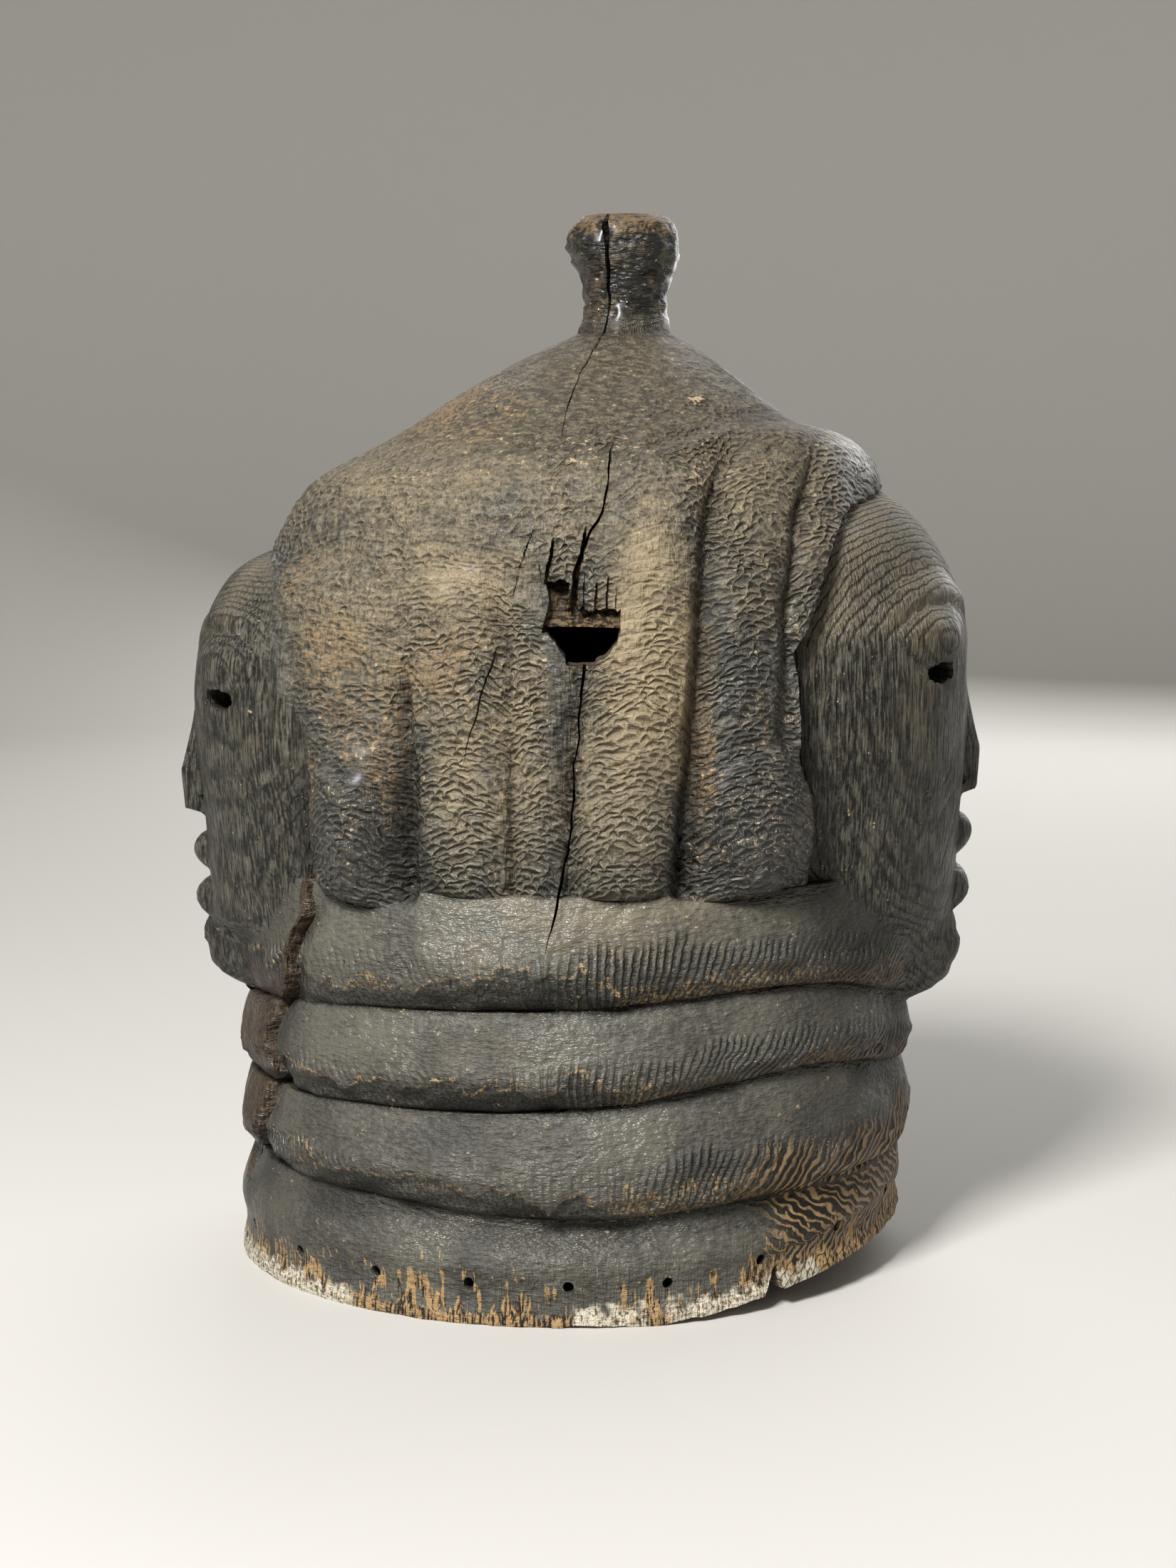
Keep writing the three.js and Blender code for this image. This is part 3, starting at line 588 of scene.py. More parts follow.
def outer_radius(angle, z):
    """Neck, hair, faces and knob joined. Below the hair the larger of neck and face shows, rounded where
    they meet; above it the hair steps down to the face at the edge of the opening; the hair's lower edge
    is a quarter round."""
    west, off = nearer_face(angle)
    inside = in_face(angle, z)
    front = np.where(west, face_radius("west", off, z), face_radius("east", off, z))
    neck = neck_radius(angle, z)
    near = np.maximum(0, 1 - np.abs(neck - front * (inside > 0)) / JAW_FILLET)
    low = np.maximum(neck, front * (inside > 0)) + near * near * JAW_FILLET / 4
    oval, rise = hair_rise(angle, z)
    hair = oval + rise
    line = hair_line(angle)
    start = np.clip((z - line) / 5.5, 0, 1)
    under = np.minimum(neck_radius(angle, np.minimum(z, ROLL_TOP - 2.5)), hair)
    hair = lerp(under, hair, np.sqrt(np.maximum(0, 1 - (1 - start) ** 2)))
    high = lerp(hair, front, inside)
    knob = np.where(z > 336, knob_profile(z), 0)
    crown = np.where(z < CROWN_TOP, np.maximum(high, knob), knob)
    return np.where(z < lerp(line, HAIR_LINE, inside), low, crown)


def cavity_radius(angle, z):
    """The hollow: an oval up to its shoulder and an ellipsoidal dome above it."""
    up = np.clip((z - CAVITY_SHOULDER) / (CAVITY_TOP - CAVITY_SHOULDER), 0, 1)
    share = np.sqrt(1 - up * up)
    west, east, side = (curve(CAVITY[key])(z) for key in ("west", "east", "side"))
    return share * oval_radius(angle, west, east, side)


def polar(angle, z, radius):
    """x, y and z of a place at this angle and distance from the upright line through the mask's middle."""
    return radius * np.cos(np.radians(angle)), radius * np.sin(np.radians(angle)), z


def to_point(angle, z, radius):
    """x, y and z of a place on the outside, whose radius is measured from the leaning axis."""
    x, y, _ = polar(angle, z, radius)
    return axis_x(z) + x, y, z


# Wear, growth rings and tool marks


def along_neck(angle):
    """Distance round the neck's oval in mm, from the middle of the south side eastwards."""
    fine = np.linspace(-180, 180, 721)
    x = oval_radius(fine - 90, NECK["west"], NECK["east"], NECK["side"])
    step = np.radians(0.5) * 0.5 * (x[1:] + x[:-1])
    length = np.concatenate([[0], np.cumsum(step)])
    length = length - length[360]
    turn = np.mod(angle + 90 + 180, 360) - 180
    return np.interp(turn, fine, length)


def round_side(angle):
    """Distance round the neck like along_neck, folded back at the two ends: it runs to the ends and then
    down to 0 again at the middle of the north side, and so has no jump anywhere."""
    u = along_neck(angle)
    west, east = along_neck(np.array([90.001, 89.999]))
    half = np.where(u < 0, -west, east)
    return np.where(np.abs(u) > half / 2, np.sign(u) * (half - np.abs(u)), u)


def hair_rows(angle, z, point):
    """Rows of gouge cuts, counted up the hair: height less the lobe's rise, so that a row runs over each
    lobe and bulb as an arch. Soft noise breaks their evenness."""
    _, rise = hair_rise(angle, z)
    warp = 0.9 * noise(point, 17, 11) + 0.45 * noise(point, 8, 12)
    return (z - 180 - 1.35 * rise) / ROW_PITCH + warp * 1.6


def face_rings(angle, z, point, radius):
    """Growth rings cut by a face: the distance from the axis in steps of the rings' spacing, which draws
    nested loops over the brow and cheeks."""
    warp = 0.8 * noise(point, 30, 21) + 0.25 * noise(point, 9, 22)
    across = np.abs(np.sin(np.radians(angle))) * radius
    return (radius + 0.35 * across) / 1.9 + 0.02 * z + warp


def comb_lines(angle, z, point):
    """Lines combed down the lower half of each roll, counted round the neck. East of the middle they bend
    westwards as they go down."""
    _, up = neck_place(angle, z)
    u = along_neck(angle)
    bend = 20 * smoothstep(np.abs(u), 0, 60) * (1 - smoothstep(np.abs(u), 150, 190)) * np.sign(u + 12)
    warp = 0.45 * noise(point, 13, 31) + 0.25 * noise(point, 6, 34)
    return (round_side(angle) + bend * np.maximum(0, 0.72 - up) ** 1.5) / 3.05 + warp


def comb_strength(angle, z, point):
    """Where the combed lines show: on the lower half of a roll, strong east of the middle, in traces west
    of it and stronger again towards the west end."""
    band, up = neck_place(angle, z)
    u = along_neck(angle)
    edge = 0.5 + 0.12 * noise(point, 16, 32) + 0.08 * noise(point, 7, 35)
    low = 1 - smoothstep(up, edge - 0.12, edge + 0.06)
    start = np.where(band == 1, 30, -6)
    side = lerp(0.25, 1, smoothstep(np.abs(u + 14) - 14, start - 16, start + 14))
    side = np.where(u < -14, 0.25 + 0.5 * smoothstep(-u, 95, 130), side)
    strength = np.clip(0.8 + 0.45 * noise(point, 24, 33), 0.15, 1)
    return np.where(band > 0, low * side * strength, 0) * (z < hair_line(angle))


def torn_lip(angle, z, point):
    """How far a roll's lower edge has torn away, from 0 to 1: below a ragged line a third of the way up the
    roll, nearly all along the west half and faintly on the east."""
    band, up = neck_place(angle, z)
    u = along_neck(angle)
    edge = 0.32 + 0.13 * noise(point, (9, 9, 60), 36) + 0.1 * noise(point, (4, 4, 60), 37)
    edge = edge + 0.13 * noise(point, (22, 22, 60), 38)
    share = lerp(1, 0.25, smoothstep(u, -14, 26) * (1 - smoothstep(u, 300, 350)))
    share = share * np.clip(0.9 + 0.8 * noise(point, 28, 39), 0.2, 1)
    torn = (1 - smoothstep(up, edge - 0.035, edge + 0.02)) * (0.55 + 0.45 * smoothstep(up, 0.3, 0.02))
    return (band > 0) * share * torn * (z < hair_line(angle) - 1)


def hair_wear(angle, z, point):
    """Wear of the hair: scallops of two sizes, and the steps of the growth rings as a saw with a long rise
    and a short fall, strong in patches. Both are flatter on the crown."""
    scallops = 0.42 * noise(point, (6, 6, 3.8), 3) + 0.34 * noise(point, (3.8, 3.8, 2.8), 4)
    rings = fract(hair_rows(angle, z, point) / ROWS_IN_RING)
    step = np.minimum(rings / 0.72, (1 - rings) / 0.28) - 0.5
    strength = np.clip(0.65 + 0.6 * noise(point, 22, 5), 0.1, 1)
    return lerp(1, 0.55, smoothstep(z, 285, 320)) * (scallops + 0.75 * step * strength)


def furrow_depth(x, z):
    """Depth of the furrows between the lobes: a dome across each path, which wanders with soft noise and
    fades out at both ends."""
    wander = 1.2 * noise((z * 0, z * 0, z), 14, 19)
    total = 0
    for path, half, depth in FURROWS:
        path_x, path_z = np.array(path, float).T
        foot, top = path_z[0], path_z[-1]
        ends = smoothstep(z, foot - 4, foot + 4) * (1 - smoothstep(z, top - 22, top))
        middle = np.interp(z, path_z, path_x) + wander
        total = total + depth * ends * dome((x - middle) / half, 1.3)
    return total


def neck_wear(angle, z, point):
    """Wear of the rolls and the rim: waves on the lower half of a roll, a slow swell along its middle, its
    torn lower edge, fine lumps all over and the frayed foot of the rim."""
    band, up = neck_place(angle, z)
    on_neck = 1 - smoothstep(z, HAIR_LINE - 4, HAIR_LINE + 1)
    waves = 1.1 * noise(point, (12, 12, 5), 6) + 0.8 * noise(point, (6, 6, 3), 7)
    swell = 1.1 * noise(point, (30, 30, 18), 16)
    rolls = waves * (1 - smoothstep(up, 0.35, 0.6)) + swell * dome(2 * up - 1, 1)
    lumps = 0.18 * noise(point, (5, 5, 3), 8)
    frayed = 1 - smoothstep(z - rim_level(angle), 2, 26)
    fray = 0.55 * noise(point, (3.2, 3.2, 9), 9) - 0.2
    return on_neck * ((band > 0) * rolls + lumps) - 3.2 * torn_lip(angle, z, point) + frayed * fray


def knob_wear(point):
    """Wrinkles of the knob, less the undercut below its head on the south-west."""
    x, y, z = point
    wrinkles = 0.7 * noise(point, (6, 6, 3), 10) + 0.6 * noise(point, (8, 8, 1.9), 13)
    wrinkles = wrinkles + 0.4 * noise(point, (2.8, 2.8, 2.2), 29)
    undercut = dome((z - 371.5) / 6.5, 1.2) - 0.6 * dome((z - 383) / 7, 1)
    return wrinkles - 1.2 * smoothstep(9 - x, 0, 1.5) * (1 - smoothstep(y, 0, 9)) * undercut


def crown_crease(point):
    """The torn crease where the crown meets the hair, and the ridge under it: two bell curves across a line
    that rises to either side of the middle."""
    x, _, z = point
    away = (z - 306.5 - 0.004 * (x - 2) ** 2 - 1.6 * noise(point, 9, 15)) / 2.2
    span = smoothstep(x, -42, -20) * (1 - smoothstep(x, 40, 62))
    torn = np.clip(0.9 + 0.8 * noise(point, (4, 4, 8), 20), 0.2, 1.6)
    return span * torn * (1.3 * np.exp(-((away + 1.4) ** 2)) - 1.5 * np.exp(-(away**2)))


def south_marks(x, z):
    """The sum of the marks of the south side, each a dome over its oval."""
    return sum(
        rise * dome(oval_away(x, z, *oval), power)
        for marks in SOUTH_MARKS.values()
        for *oval, rise, power in marks
    )


def wear(angle, z, point):
    """How far the worn surface stands out of or lies below the clean form: soft lumps all over, the wear of
    each part faded out at its edges, and marks, furrows and the split's chamfer on the south side."""
    x, y, _ = point
    face = in_face(angle, z)
    line = hair_line(angle)
    on_knob = smoothstep(z, CROWN_TOP - 4, CROWN_TOP + 6)
    in_hair = (1 - face) * smoothstep(z, line - 1, line + 3) * (1 - on_knob)
    lumps = 0.55 * noise(point, 34, 1) + 0.3 * noise(point, 13, 2)
    total = lumps * lerp(1, 0.5, face) + 0.16 * face * noise(point, (3, 3, 14), 14)
    total = total + in_hair * hair_wear(angle, z, point)
    total = total + neck_wear(angle, z, point)
    total = total + on_knob * knob_wear(point) + crown_crease(point)
    return total + (y < 0) * (south_marks(x, z) - furrow_depth(x, z) - split_chamfer(x, z))


def split_line(z):
    """X of the long split at each height."""
    path = np.array(SPLIT["path"])
    return np.interp(-z, -path[:, 1], path[:, 0])


def split_chamfer(x, z):
    """How far the wood east of the long split has broken away, so that the slab's face stands bare: deepest
    at the split and gone 9 mm east of it, in ragged steps down the line."""
    east = x - split_line(z)
    line = (z * 0, z * 0, z)
    steps = 0.75 + 0.35 * noise(line, 9, 17) + 0.2 * noise(line, 4, 18)
    gone = smoothstep(east, -1.2, 0.0) * (1 - smoothstep(east, 1.5, 9))
    return 4.2 * gone * steps * smoothstep(z, 26, 40) * (1 - smoothstep(z, 138, 152))


# The block as one closed mesh

EDGE_COLUMN = 41  # degrees from a face's middle of the column that follows the hair's edge
EDGE_BEND = (27, 50)
SWEPT_FROM = 205
COLUMN_SQUEEZE = 1.2
BAND_ROWS = (27, 25, 25, 27)  # rows in the rim, in the two lower rolls and in the first roll
HAIR_EDGE_ROWS = np.array([-0.4, 0.0, 0.35, 1.0, 2.0, 3.2])  # heights above the hair's lower edge
HEAD_ROWS = 88
HEAD_TOP = 292
CROWN_ROWS = 42
KNOB_ROWS = 32
CAP_RINGS = 5
RIM_RINGS = 3
CHIPPED_ROWS = 5
CAVITY_WALL_ROWS = 15
CAVITY_DOME_ROWS = 12


def column_angles(count):
    """Angles of the columns, closer together at the noses and on the south side: equal steps of the
    running total of a density."""
    fine = np.linspace(-180, 180, 3601)
    _, off = nearer_face(fine)
    density = 1 + 0.7 * np.exp(-((off / 9) ** 2)) + 0.25 * (fine < 0)
    total = np.concatenate([[0], np.cumsum(0.5 * (density[1:] + density[:-1]))])
    return np.interp(np.arange(count) * total[-1] / count, total, fine)


def column_angle(base, z):
    """The angle of a column at a height: it keeps its distance from the middle of the mask as it climbs
    the sides, and bends with the edge of the hair beside a face."""
    west, off = nearer_face(base)
    on_side = smoothstep(np.abs(np.sin(np.radians(base))), 0.7, 0.93)
    narrowing = np.minimum(COLUMN_SQUEEZE, hair_side(SWEPT_FROM) / hair_side(np.maximum(z, SWEPT_FROM)))
    straight = np.degrees(np.arccos(np.cos(np.radians(off)) * lerp(1, narrowing, on_side)))
    bend = np.clip(by_face(west, "opening", z), *EDGE_BEND) - EDGE_COLUMN
    share = np.where(
        straight < EDGE_COLUMN, straight / EDGE_COLUMN, 1 - smoothstep(straight, EDGE_COLUMN, 85)
    )
    settled = 1 - smoothstep(z, 300, 345)
    turn = np.sign(off) * (straight + bend * share * settled)
    return np.where(west, turn + 180, turn)


def outer_heights(angle):
    """Heights of the outer rows for each column, as a table: rows gather towards the grooves and run level
    from the hair's lower edge upwards."""
    levels = neck_levels(angle)
    line = hair_line(angle)
    levels[4] = line + HAIR_EDGE_ROWS[0]
    parts = []
    for band, count in enumerate(BAND_ROWS):
        t = np.arange(count) / count
        t = t - 0.085 * np.sin(2 * math.pi * t) if band else t
        parts.append(lerp(levels[band][:, None], levels[band + 1][:, None], t[None]))
    parts.append(line[:, None] + HAIR_EDGE_ROWS)
    settle = np.linspace(0, 1, HEAD_ROWS, endpoint=False)
    parts.append(lerp(line[:, None] + HAIR_EDGE_ROWS[-1] + 1.5, HEAD_TOP, settle))
    level_rows = np.concatenate([
        np.linspace(HEAD_TOP, CROWN_TOP, CROWN_ROWS, endpoint=False),
        np.linspace(CROWN_TOP, HEIGHT - 0.4, KNOB_ROWS),
    ])
    parts.append(np.broadcast_to(level_rows, (len(angle), len(level_rows))))
    return np.concatenate(parts, axis=1)


def cavity_marks(point):
    """Shallow scoops left by the tool that hollowed the block: noise drawn out down the wall."""
    return 0.9 * noise(point, (11, 11, 24), 41) + 0.35 * noise(point, (5, 5, 9), 42)


def hollow_skin(base, relief):
    """The hollow as a table of points, columns by rows: down its dome in equal turns of a quarter circle,
    and down its wall to the rim, with the tool's marks fading out near the edge."""
    turns = np.linspace(math.pi / 2, 0, CAVITY_DOME_ROWS, endpoint=False)[1:]
    dome_z = CAVITY_SHOULDER + (CAVITY_TOP - CAVITY_SHOULDER) * np.sin(turns)
    foot = rim_level(base)[:, None]
    wall_z = foot + (CAVITY_SHOULDER - foot) * np.linspace(1, 0, CAVITY_WALL_ROWS)
    z = np.concatenate([np.broadcast_to(dome_z, (len(base), len(dome_z))), wall_z], axis=1)
    angle = np.broadcast_to(base[:, None], z.shape)
    radius = cavity_radius(angle, z)
    marks = smoothstep(z - foot, 0, 25) * cavity_marks(polar(angle, z, radius))
    return np.stack(polar(angle, z, radius + relief * marks), axis=-1)


def outer_skin(base, relief):
    """The worn outside as a table of points, columns by rows, from the rim's lower edge to the knob's top.
    Soft noise chips the lower edge, and only upwards, because the mask stands on it."""
    z = outer_heights(base)
    angle = column_angle(base[:, None], z)
    radius = outer_radius(angle, z)
    radius = radius + relief * wear(angle, z, to_point(angle, z, radius))
    skin = np.stack(to_point(angle, z, radius), axis=-1)
    foot = skin[:, 0].T
    chipped = np.maximum(0, 0.8 * noise(foot, 4, 51) + 0.9 * noise(foot, 13, 52))
    fading = 1 - np.arange(CHIPPED_ROWS) / CHIPPED_ROWS
    skin[:, :CHIPPED_ROWS, 2] += relief * chipped[:, None] * fading
    return skin


def rings_between(first, last, count):
    """Rings of points at equal steps on the straight lines from one ring, or point, to another."""
    share = (np.arange(1, count + 1) / (count + 1))[None, :, None]
    return lerp(first, last, share)


def soft_share(points, size, seed):
    """Soft noise from 0 to 1 at a table of points."""
    return 0.5 + 0.5 * noise(np.moveaxis(points, -1, 0), size, seed)


def block_grid(columns, relief):
    """The whole skin as one table of points, columns by rows: from the top of the hollow down its wall,
    across the rim, up the outside and over the knob to the middle of its top."""
    base = column_angles(columns)
    hollow = hollow_skin(base, relief)
    outside = outer_skin(base, relief)
    under = rings_between(hollow[:, -1:], outside[:, :1], RIM_RINGS)
    under[..., 2] += relief * 0.7 * soft_share(under, 5, 53)
    knob_centre = np.array([KNOB_X, 0.0, HEIGHT - 1.0])
    cap = rings_between(outside[:, -1:], knob_centre, CAP_RINGS)
    cap[..., 2] = HEIGHT - 0.2 - relief * 0.9 * soft_share(cap, 4, 54)
    grid = np.concatenate([hollow, under, outside, cap], axis=1)
    return grid, np.array([0.0, 0.0, CAVITY_TOP]), knob_centre


def ring_quads(columns, rows):
    """Faces of a table of points that closes on itself column to column."""
    i = np.arange(columns)[:, None]
    j = np.arange(rows - 1)[None]
    here = i * rows + j
    beside = (i + 1) % columns * rows + j
    return np.stack([here, beside, beside + 1, here + 1], axis=-1).reshape(-1, 4)


def fan(columns, rows, row, point):
    """Triangles from one row of such a table to a single point."""
    here = np.arange(columns) * rows + row
    return np.stack([np.roll(here, -1), here, np.full(columns, point)], axis=-1)


def closed_skin(grid, first, last):
    """Points and faces of a table of points that closes on itself column to column, with a fan of
    triangles to a single point at either end."""
    columns, rows, _ = grid.shape
    points = np.concatenate([grid.reshape(-1, 3), [first], [last]])
    low_fan = fan(columns, rows, 0, columns * rows)
    high_fan = fan(columns, rows, rows - 1, columns * rows + 1)[:, [1, 0, 2]]
    return points, [ring_quads(columns, rows), low_fan, high_fan]


def mesh_from(name, points, face_tables):
    """A mesh in metres from points in millimetres and tables of face corners, filled with foreach_set."""
    mesh = bpy.data.meshes.new(name)
    loops = np.concatenate([table.ravel() for table in face_tables])
    sizes = np.concatenate([np.full(len(table), table.shape[1]) for table in face_tables])
    mesh.vertices.add(len(points))
    mesh.vertices.foreach_set("co", (np.asarray(points) / 1000).astype(np.float32).ravel())
    mesh.loops.add(len(loops))
    mesh.loops.foreach_set("vertex_index", loops.astype(np.int32))
    mesh.polygons.add(len(sizes))
    mesh.polygons.foreach_set("loop_start", np.concatenate([[0], np.cumsum(sizes)[:-1]]).astype(np.int32))
    mesh.update(calc_edges=True)
    mesh.validate()
    return mesh


# Cutters: tools that take wood away


def prism(outline, start, end, to_world):
    """A closed prism: an outline's points at one end and at the other, walls between them and a fan of
    triangles over each end. to_world places (u, v, w) in the mask."""
    outline = np.array(outline, float)
    count = len(outline)
    rings = [np.column_stack([outline, np.full(count, w)]) for w in (start, end)]
    middles = [np.append(outline.mean(0), w) for w in (start, end)]
    points = to_world(np.concatenate([*rings, middles]))
    i = np.arange(count)
    j = (i + 1) % count
    walls = np.stack([i, j, j + count, i + count], axis=-1)
    near = np.stack([j, i, np.full(count, 2 * count)], axis=-1)
    far = np.stack([i + count, j + count, np.full(count, 2 * count + 1)], axis=-1)
    return points, [walls, near, far]


def ragged(outline, steps, size, seed):
    """An outline with points added between its own and moved by soft noise of this size."""
    outline = np.array(outline, float)
    after = np.roll(outline, -1, axis=0)
    t = (np.arange(steps) / steps)[None, :, None]
    fine = lerp(outline[:, None], after[:, None], t).reshape(-1, 2)
    u, v = fine.T
    shift = [noise((u, v, np.zeros_like(u)), 1.6, seed + k) for k in (0, 1)]
    return fine + size * np.stack(shift, axis=-1)


def along_y(points):
    """(u, v, w) as x, z and y."""
    return points[:, [0, 2, 1]]


def outward(angle, origin):
    """A placing that looks along a ray: u to the left seen from outside, v up, w out from the origin."""
    turn = math.radians(angle)
    out = np.array([math.cos(turn), math.sin(turn), 0])
    side = np.array([-math.sin(turn), math.cos(turn), 0])
    up = np.array([0, 0, 1.0])
    return lambda p: np.asarray(origin) + p[:, :1] * side + p[:, 1:2] * up + p[:, 2:] * out


def ring(width, height, sides, seed):
    """An oval outline whose radius wanders a little."""
    turn = 2 * math.pi * (np.arange(sides) + 0.5) / sides
    wander = 1 + 0.12 * noise((np.cos(turn) * 2, np.sin(turn) * 2, np.zeros(sides)), 1, seed)
    return np.column_stack([width / 2 * np.cos(turn) * wander, height / 2 * np.sin(turn) * wander])


def almond(width, height, sides):
    """A slot with pointed ends: the height falls off as the 0.8th power of a sine."""
    turn = 2 * math.pi * np.arange(sides) / sides
    v = np.sign(np.sin(turn)) * np.abs(np.sin(turn)) ** 0.8
    return np.column_stack([width / 2 * np.cos(turn), height / 2 * v])


def rim_cutters():
    """The lacing holes and the notch in the rim."""
    made = []
    for i in range(RIM_HOLES["count"]):
        angle = RIM_HOLES["first"] + 360 * i / RIM_HOLES["count"]
        origin = (0, 0, RIM_HOLES["height"] + float(rim_level(np.array(angle))))
        outline = ring(2 * RIM_HOLES["radius"], 2.3 * RIM_HOLES["radius"], 14, 60 + i)
        made.append(prism(outline, 85, 150, outward(angle, origin)))
    half = RIM_NOTCH["width"] / 2
    top = RIM_NOTCH["height"]
    notch = [
        (-half, -6), (half, -6), (half, 0.3), (2.2, 4.5), (0.9, top), (-0.4, top - 1.5), (-2.0, 5.0),
        (-half, 0.6),
    ]
    foot = float(rim_level(np.array(RIM_NOTCH["angle"])))
    made.append(prism(ragged(notch, 3, 0.3, 70), 85, 150, outward(RIM_NOTCH["angle"], (0, 0, foot))))
    return made


def face_cutters():
    """Eye slits and nostrils of both faces."""
    made = []
    radius = NOSTRIL["radius"]
    for name, middle, centre in (("east", 0, FACE_CENTRE), ("west", 180, -FACE_CENTRE)):
        lift = face_curves[name]["lift"]
        eye_z = EYE["height"] + float(lift(EYE["height"] + 10))
        nostril_z = NOSTRIL["height"] + float(lift(NOSTRIL["height"]))
        for side in (-1, 1):
            slit = ragged(almond(EYE["slit"], EYE["open"], 14), 3, 0.9, 76 + side)
            made.append(prism(slit, 50, 110, outward(middle + side * EYE["turn"], (centre, 0, eye_z))))
            place = outward(middle + side * NOSTRIL["turn"], (0, 0, nostril_z))
            made.append(prism(ring(2 * radius, 1.7 * radius, 12, 75), 144.5, 160, place))
    return made


def hole_cutter():
    """The hole broken through the south side."""
    return [prism(ragged(HOLE_OUTLINE, 3, 0.35, 80), HOLE_FROM, HOLE_TO, along_y)]


def south_y(x, z):
    """Y of the clean south surface at a place seen square on: the angle is corrected by what the point's x
    is off by, over and over, until it comes right."""
    angle = np.full(np.shape(x), -90.0)
    for _ in range(12):
        radius = outer_radius(angle, z)
        at = axis_x(z) + radius * np.cos(np.radians(angle))
        angle = np.clip(angle + np.degrees((x - at) / radius), -179, -1)
    return outer_radius(angle, z) * np.sin(np.radians(angle))


def recess_depth(x, z):
    """Depth of the split recess over the hole. On the west a shelf of crackled end grain slopes out and
    down to a lip over the hole, on the east a torn ledge does the same lower down, and a narrow facet lies
    along the west edge."""
    flat = (x, z, np.zeros_like(x))
    step, east, foot, lip = (RECESS[key] for key in ("step", "east", "foot", "lip"))
    jag = 0.8 * noise(flat, (1.3, 5, 1), 81) + 0.4 * noise(flat, (0.7, 2, 1), 82)

    west = curve(RECESS_WEST)(z)
    across = smoothstep(x, west - 0.2, west + 0.3) * (1 - smoothstep(x, step - 0.3 + 0.3 * jag, step + 0.3))
    down = np.clip((RECESS_SHELF["top"] + jag - z) / (RECESS_SHELF["top"] - foot), 0, 1)
    crackle = 0.5 * noise(flat, (2.6, 0.9, 1), 83) + 0.35 * noise(flat, (1.1, 0.6, 1), 84)
    slope = lerp(RECESS_SHELF["depth"], lip, down**0.7) * smoothstep(down, 0.0, 0.05)
    shelf = across * (down > 0) * np.maximum(slope + crackle, 0.5)

    top = RECESS_LEDGE["top"] + 1.2 * jag + 1.3 * noise(flat, (4, 50, 1), 85)
    across = smoothstep(x, step - 0.7, step) * (1 - smoothstep(x, east - 1.0, east + 0.3))
    down = np.clip((top - z) / (RECESS_LEDGE["top"] - foot), 0, 1)
    torn = 1.1 * noise(flat, (1.8, 1.3, 1), 86) + 0.6 * noise(flat, (0.8, 0.8, 1), 88)
    slope = lerp(RECESS_LEDGE["depth"], lip, down**0.6)
    ledge = across * (down > 0) * np.maximum(slope + torn, 0.8)

    inwards = lerp(-19.5, -12.5, np.clip((268 - z) / 8, 0, 1)) - x
    facet = 1.6 * smoothstep(inwards, -0.2, 0.5) * (1 - smoothstep(inwards, 3, 9))
    facet = facet * smoothstep(z, 250, 257) * (1 - smoothstep(z, 262, 268))
    return np.maximum(np.maximum(shelf, ledge) * (z > foot), facet)


def with_slits(depth, x, z):
    """The depth with the slits of torn fibre in it: each is a dome across a straight line that wanders with
    soft noise, and it deepens and widens on its way down."""
    for top_x, top_z, foot_x, foot_z, width, slit_depth in FIBRE_SLITS:
        t = np.clip((top_z - z) / (top_z - foot_z), 0, 1)
        middle = lerp(top_x, foot_x, t) + 0.3 * noise((x * 0, z, x * 0), 3, 87)
        gash = slit_depth * dome((x - middle) / (width * (0.7 + 0.5 * t)), 0.5) * smoothstep(t, 0, 0.3)
        below = (z < top_z) & (z > foot_z - 1)
        depth = np.where(below, np.maximum(depth, gash), depth)
    return depth


def recess_cutter():
    """The split recess over the hole, as a closed block: its back is a table of depths below the south
    surface, which stands clear of the wood where nothing is taken, and its front a plane outside it."""
    x0, x1, z0, z1 = RECESS_SPAN
    x, z = np.meshgrid(np.linspace(x0, x1, 97), np.linspace(z0, z1, 97), indexing="ij")
    depth = with_slits(recess_depth(x, z), x, z)
    depth = np.where(depth < 0.15, -2.5, depth)
    rows, columns = x.shape
    count = rows * columns
    back = np.stack([x, south_y(x, z) + depth, z], axis=-1).reshape(-1, 3)
    front = np.stack([x, np.full_like(x, HOLE_FROM + 3), z], axis=-1).reshape(-1, 3)
    i, j = np.meshgrid(np.arange(rows - 1), np.arange(columns - 1), indexing="ij")
    here = (i * columns + j).ravel()
    quads = np.stack([here, here + 1, here + columns + 1, here + columns], axis=-1)
    border = np.concatenate([
        np.arange(columns - 1),
        columns * np.arange(rows - 1) + columns - 1,
        count - 1 - np.arange(columns - 1),
        columns * np.arange(rows - 1, 0, -1),
    ])
    after = np.roll(border, -1)
    walls = np.stack([border, border + count, after + count, after], axis=-1)
    return [(np.concatenate([back, front]), [quads, quads[:, ::-1] + count, walls])]


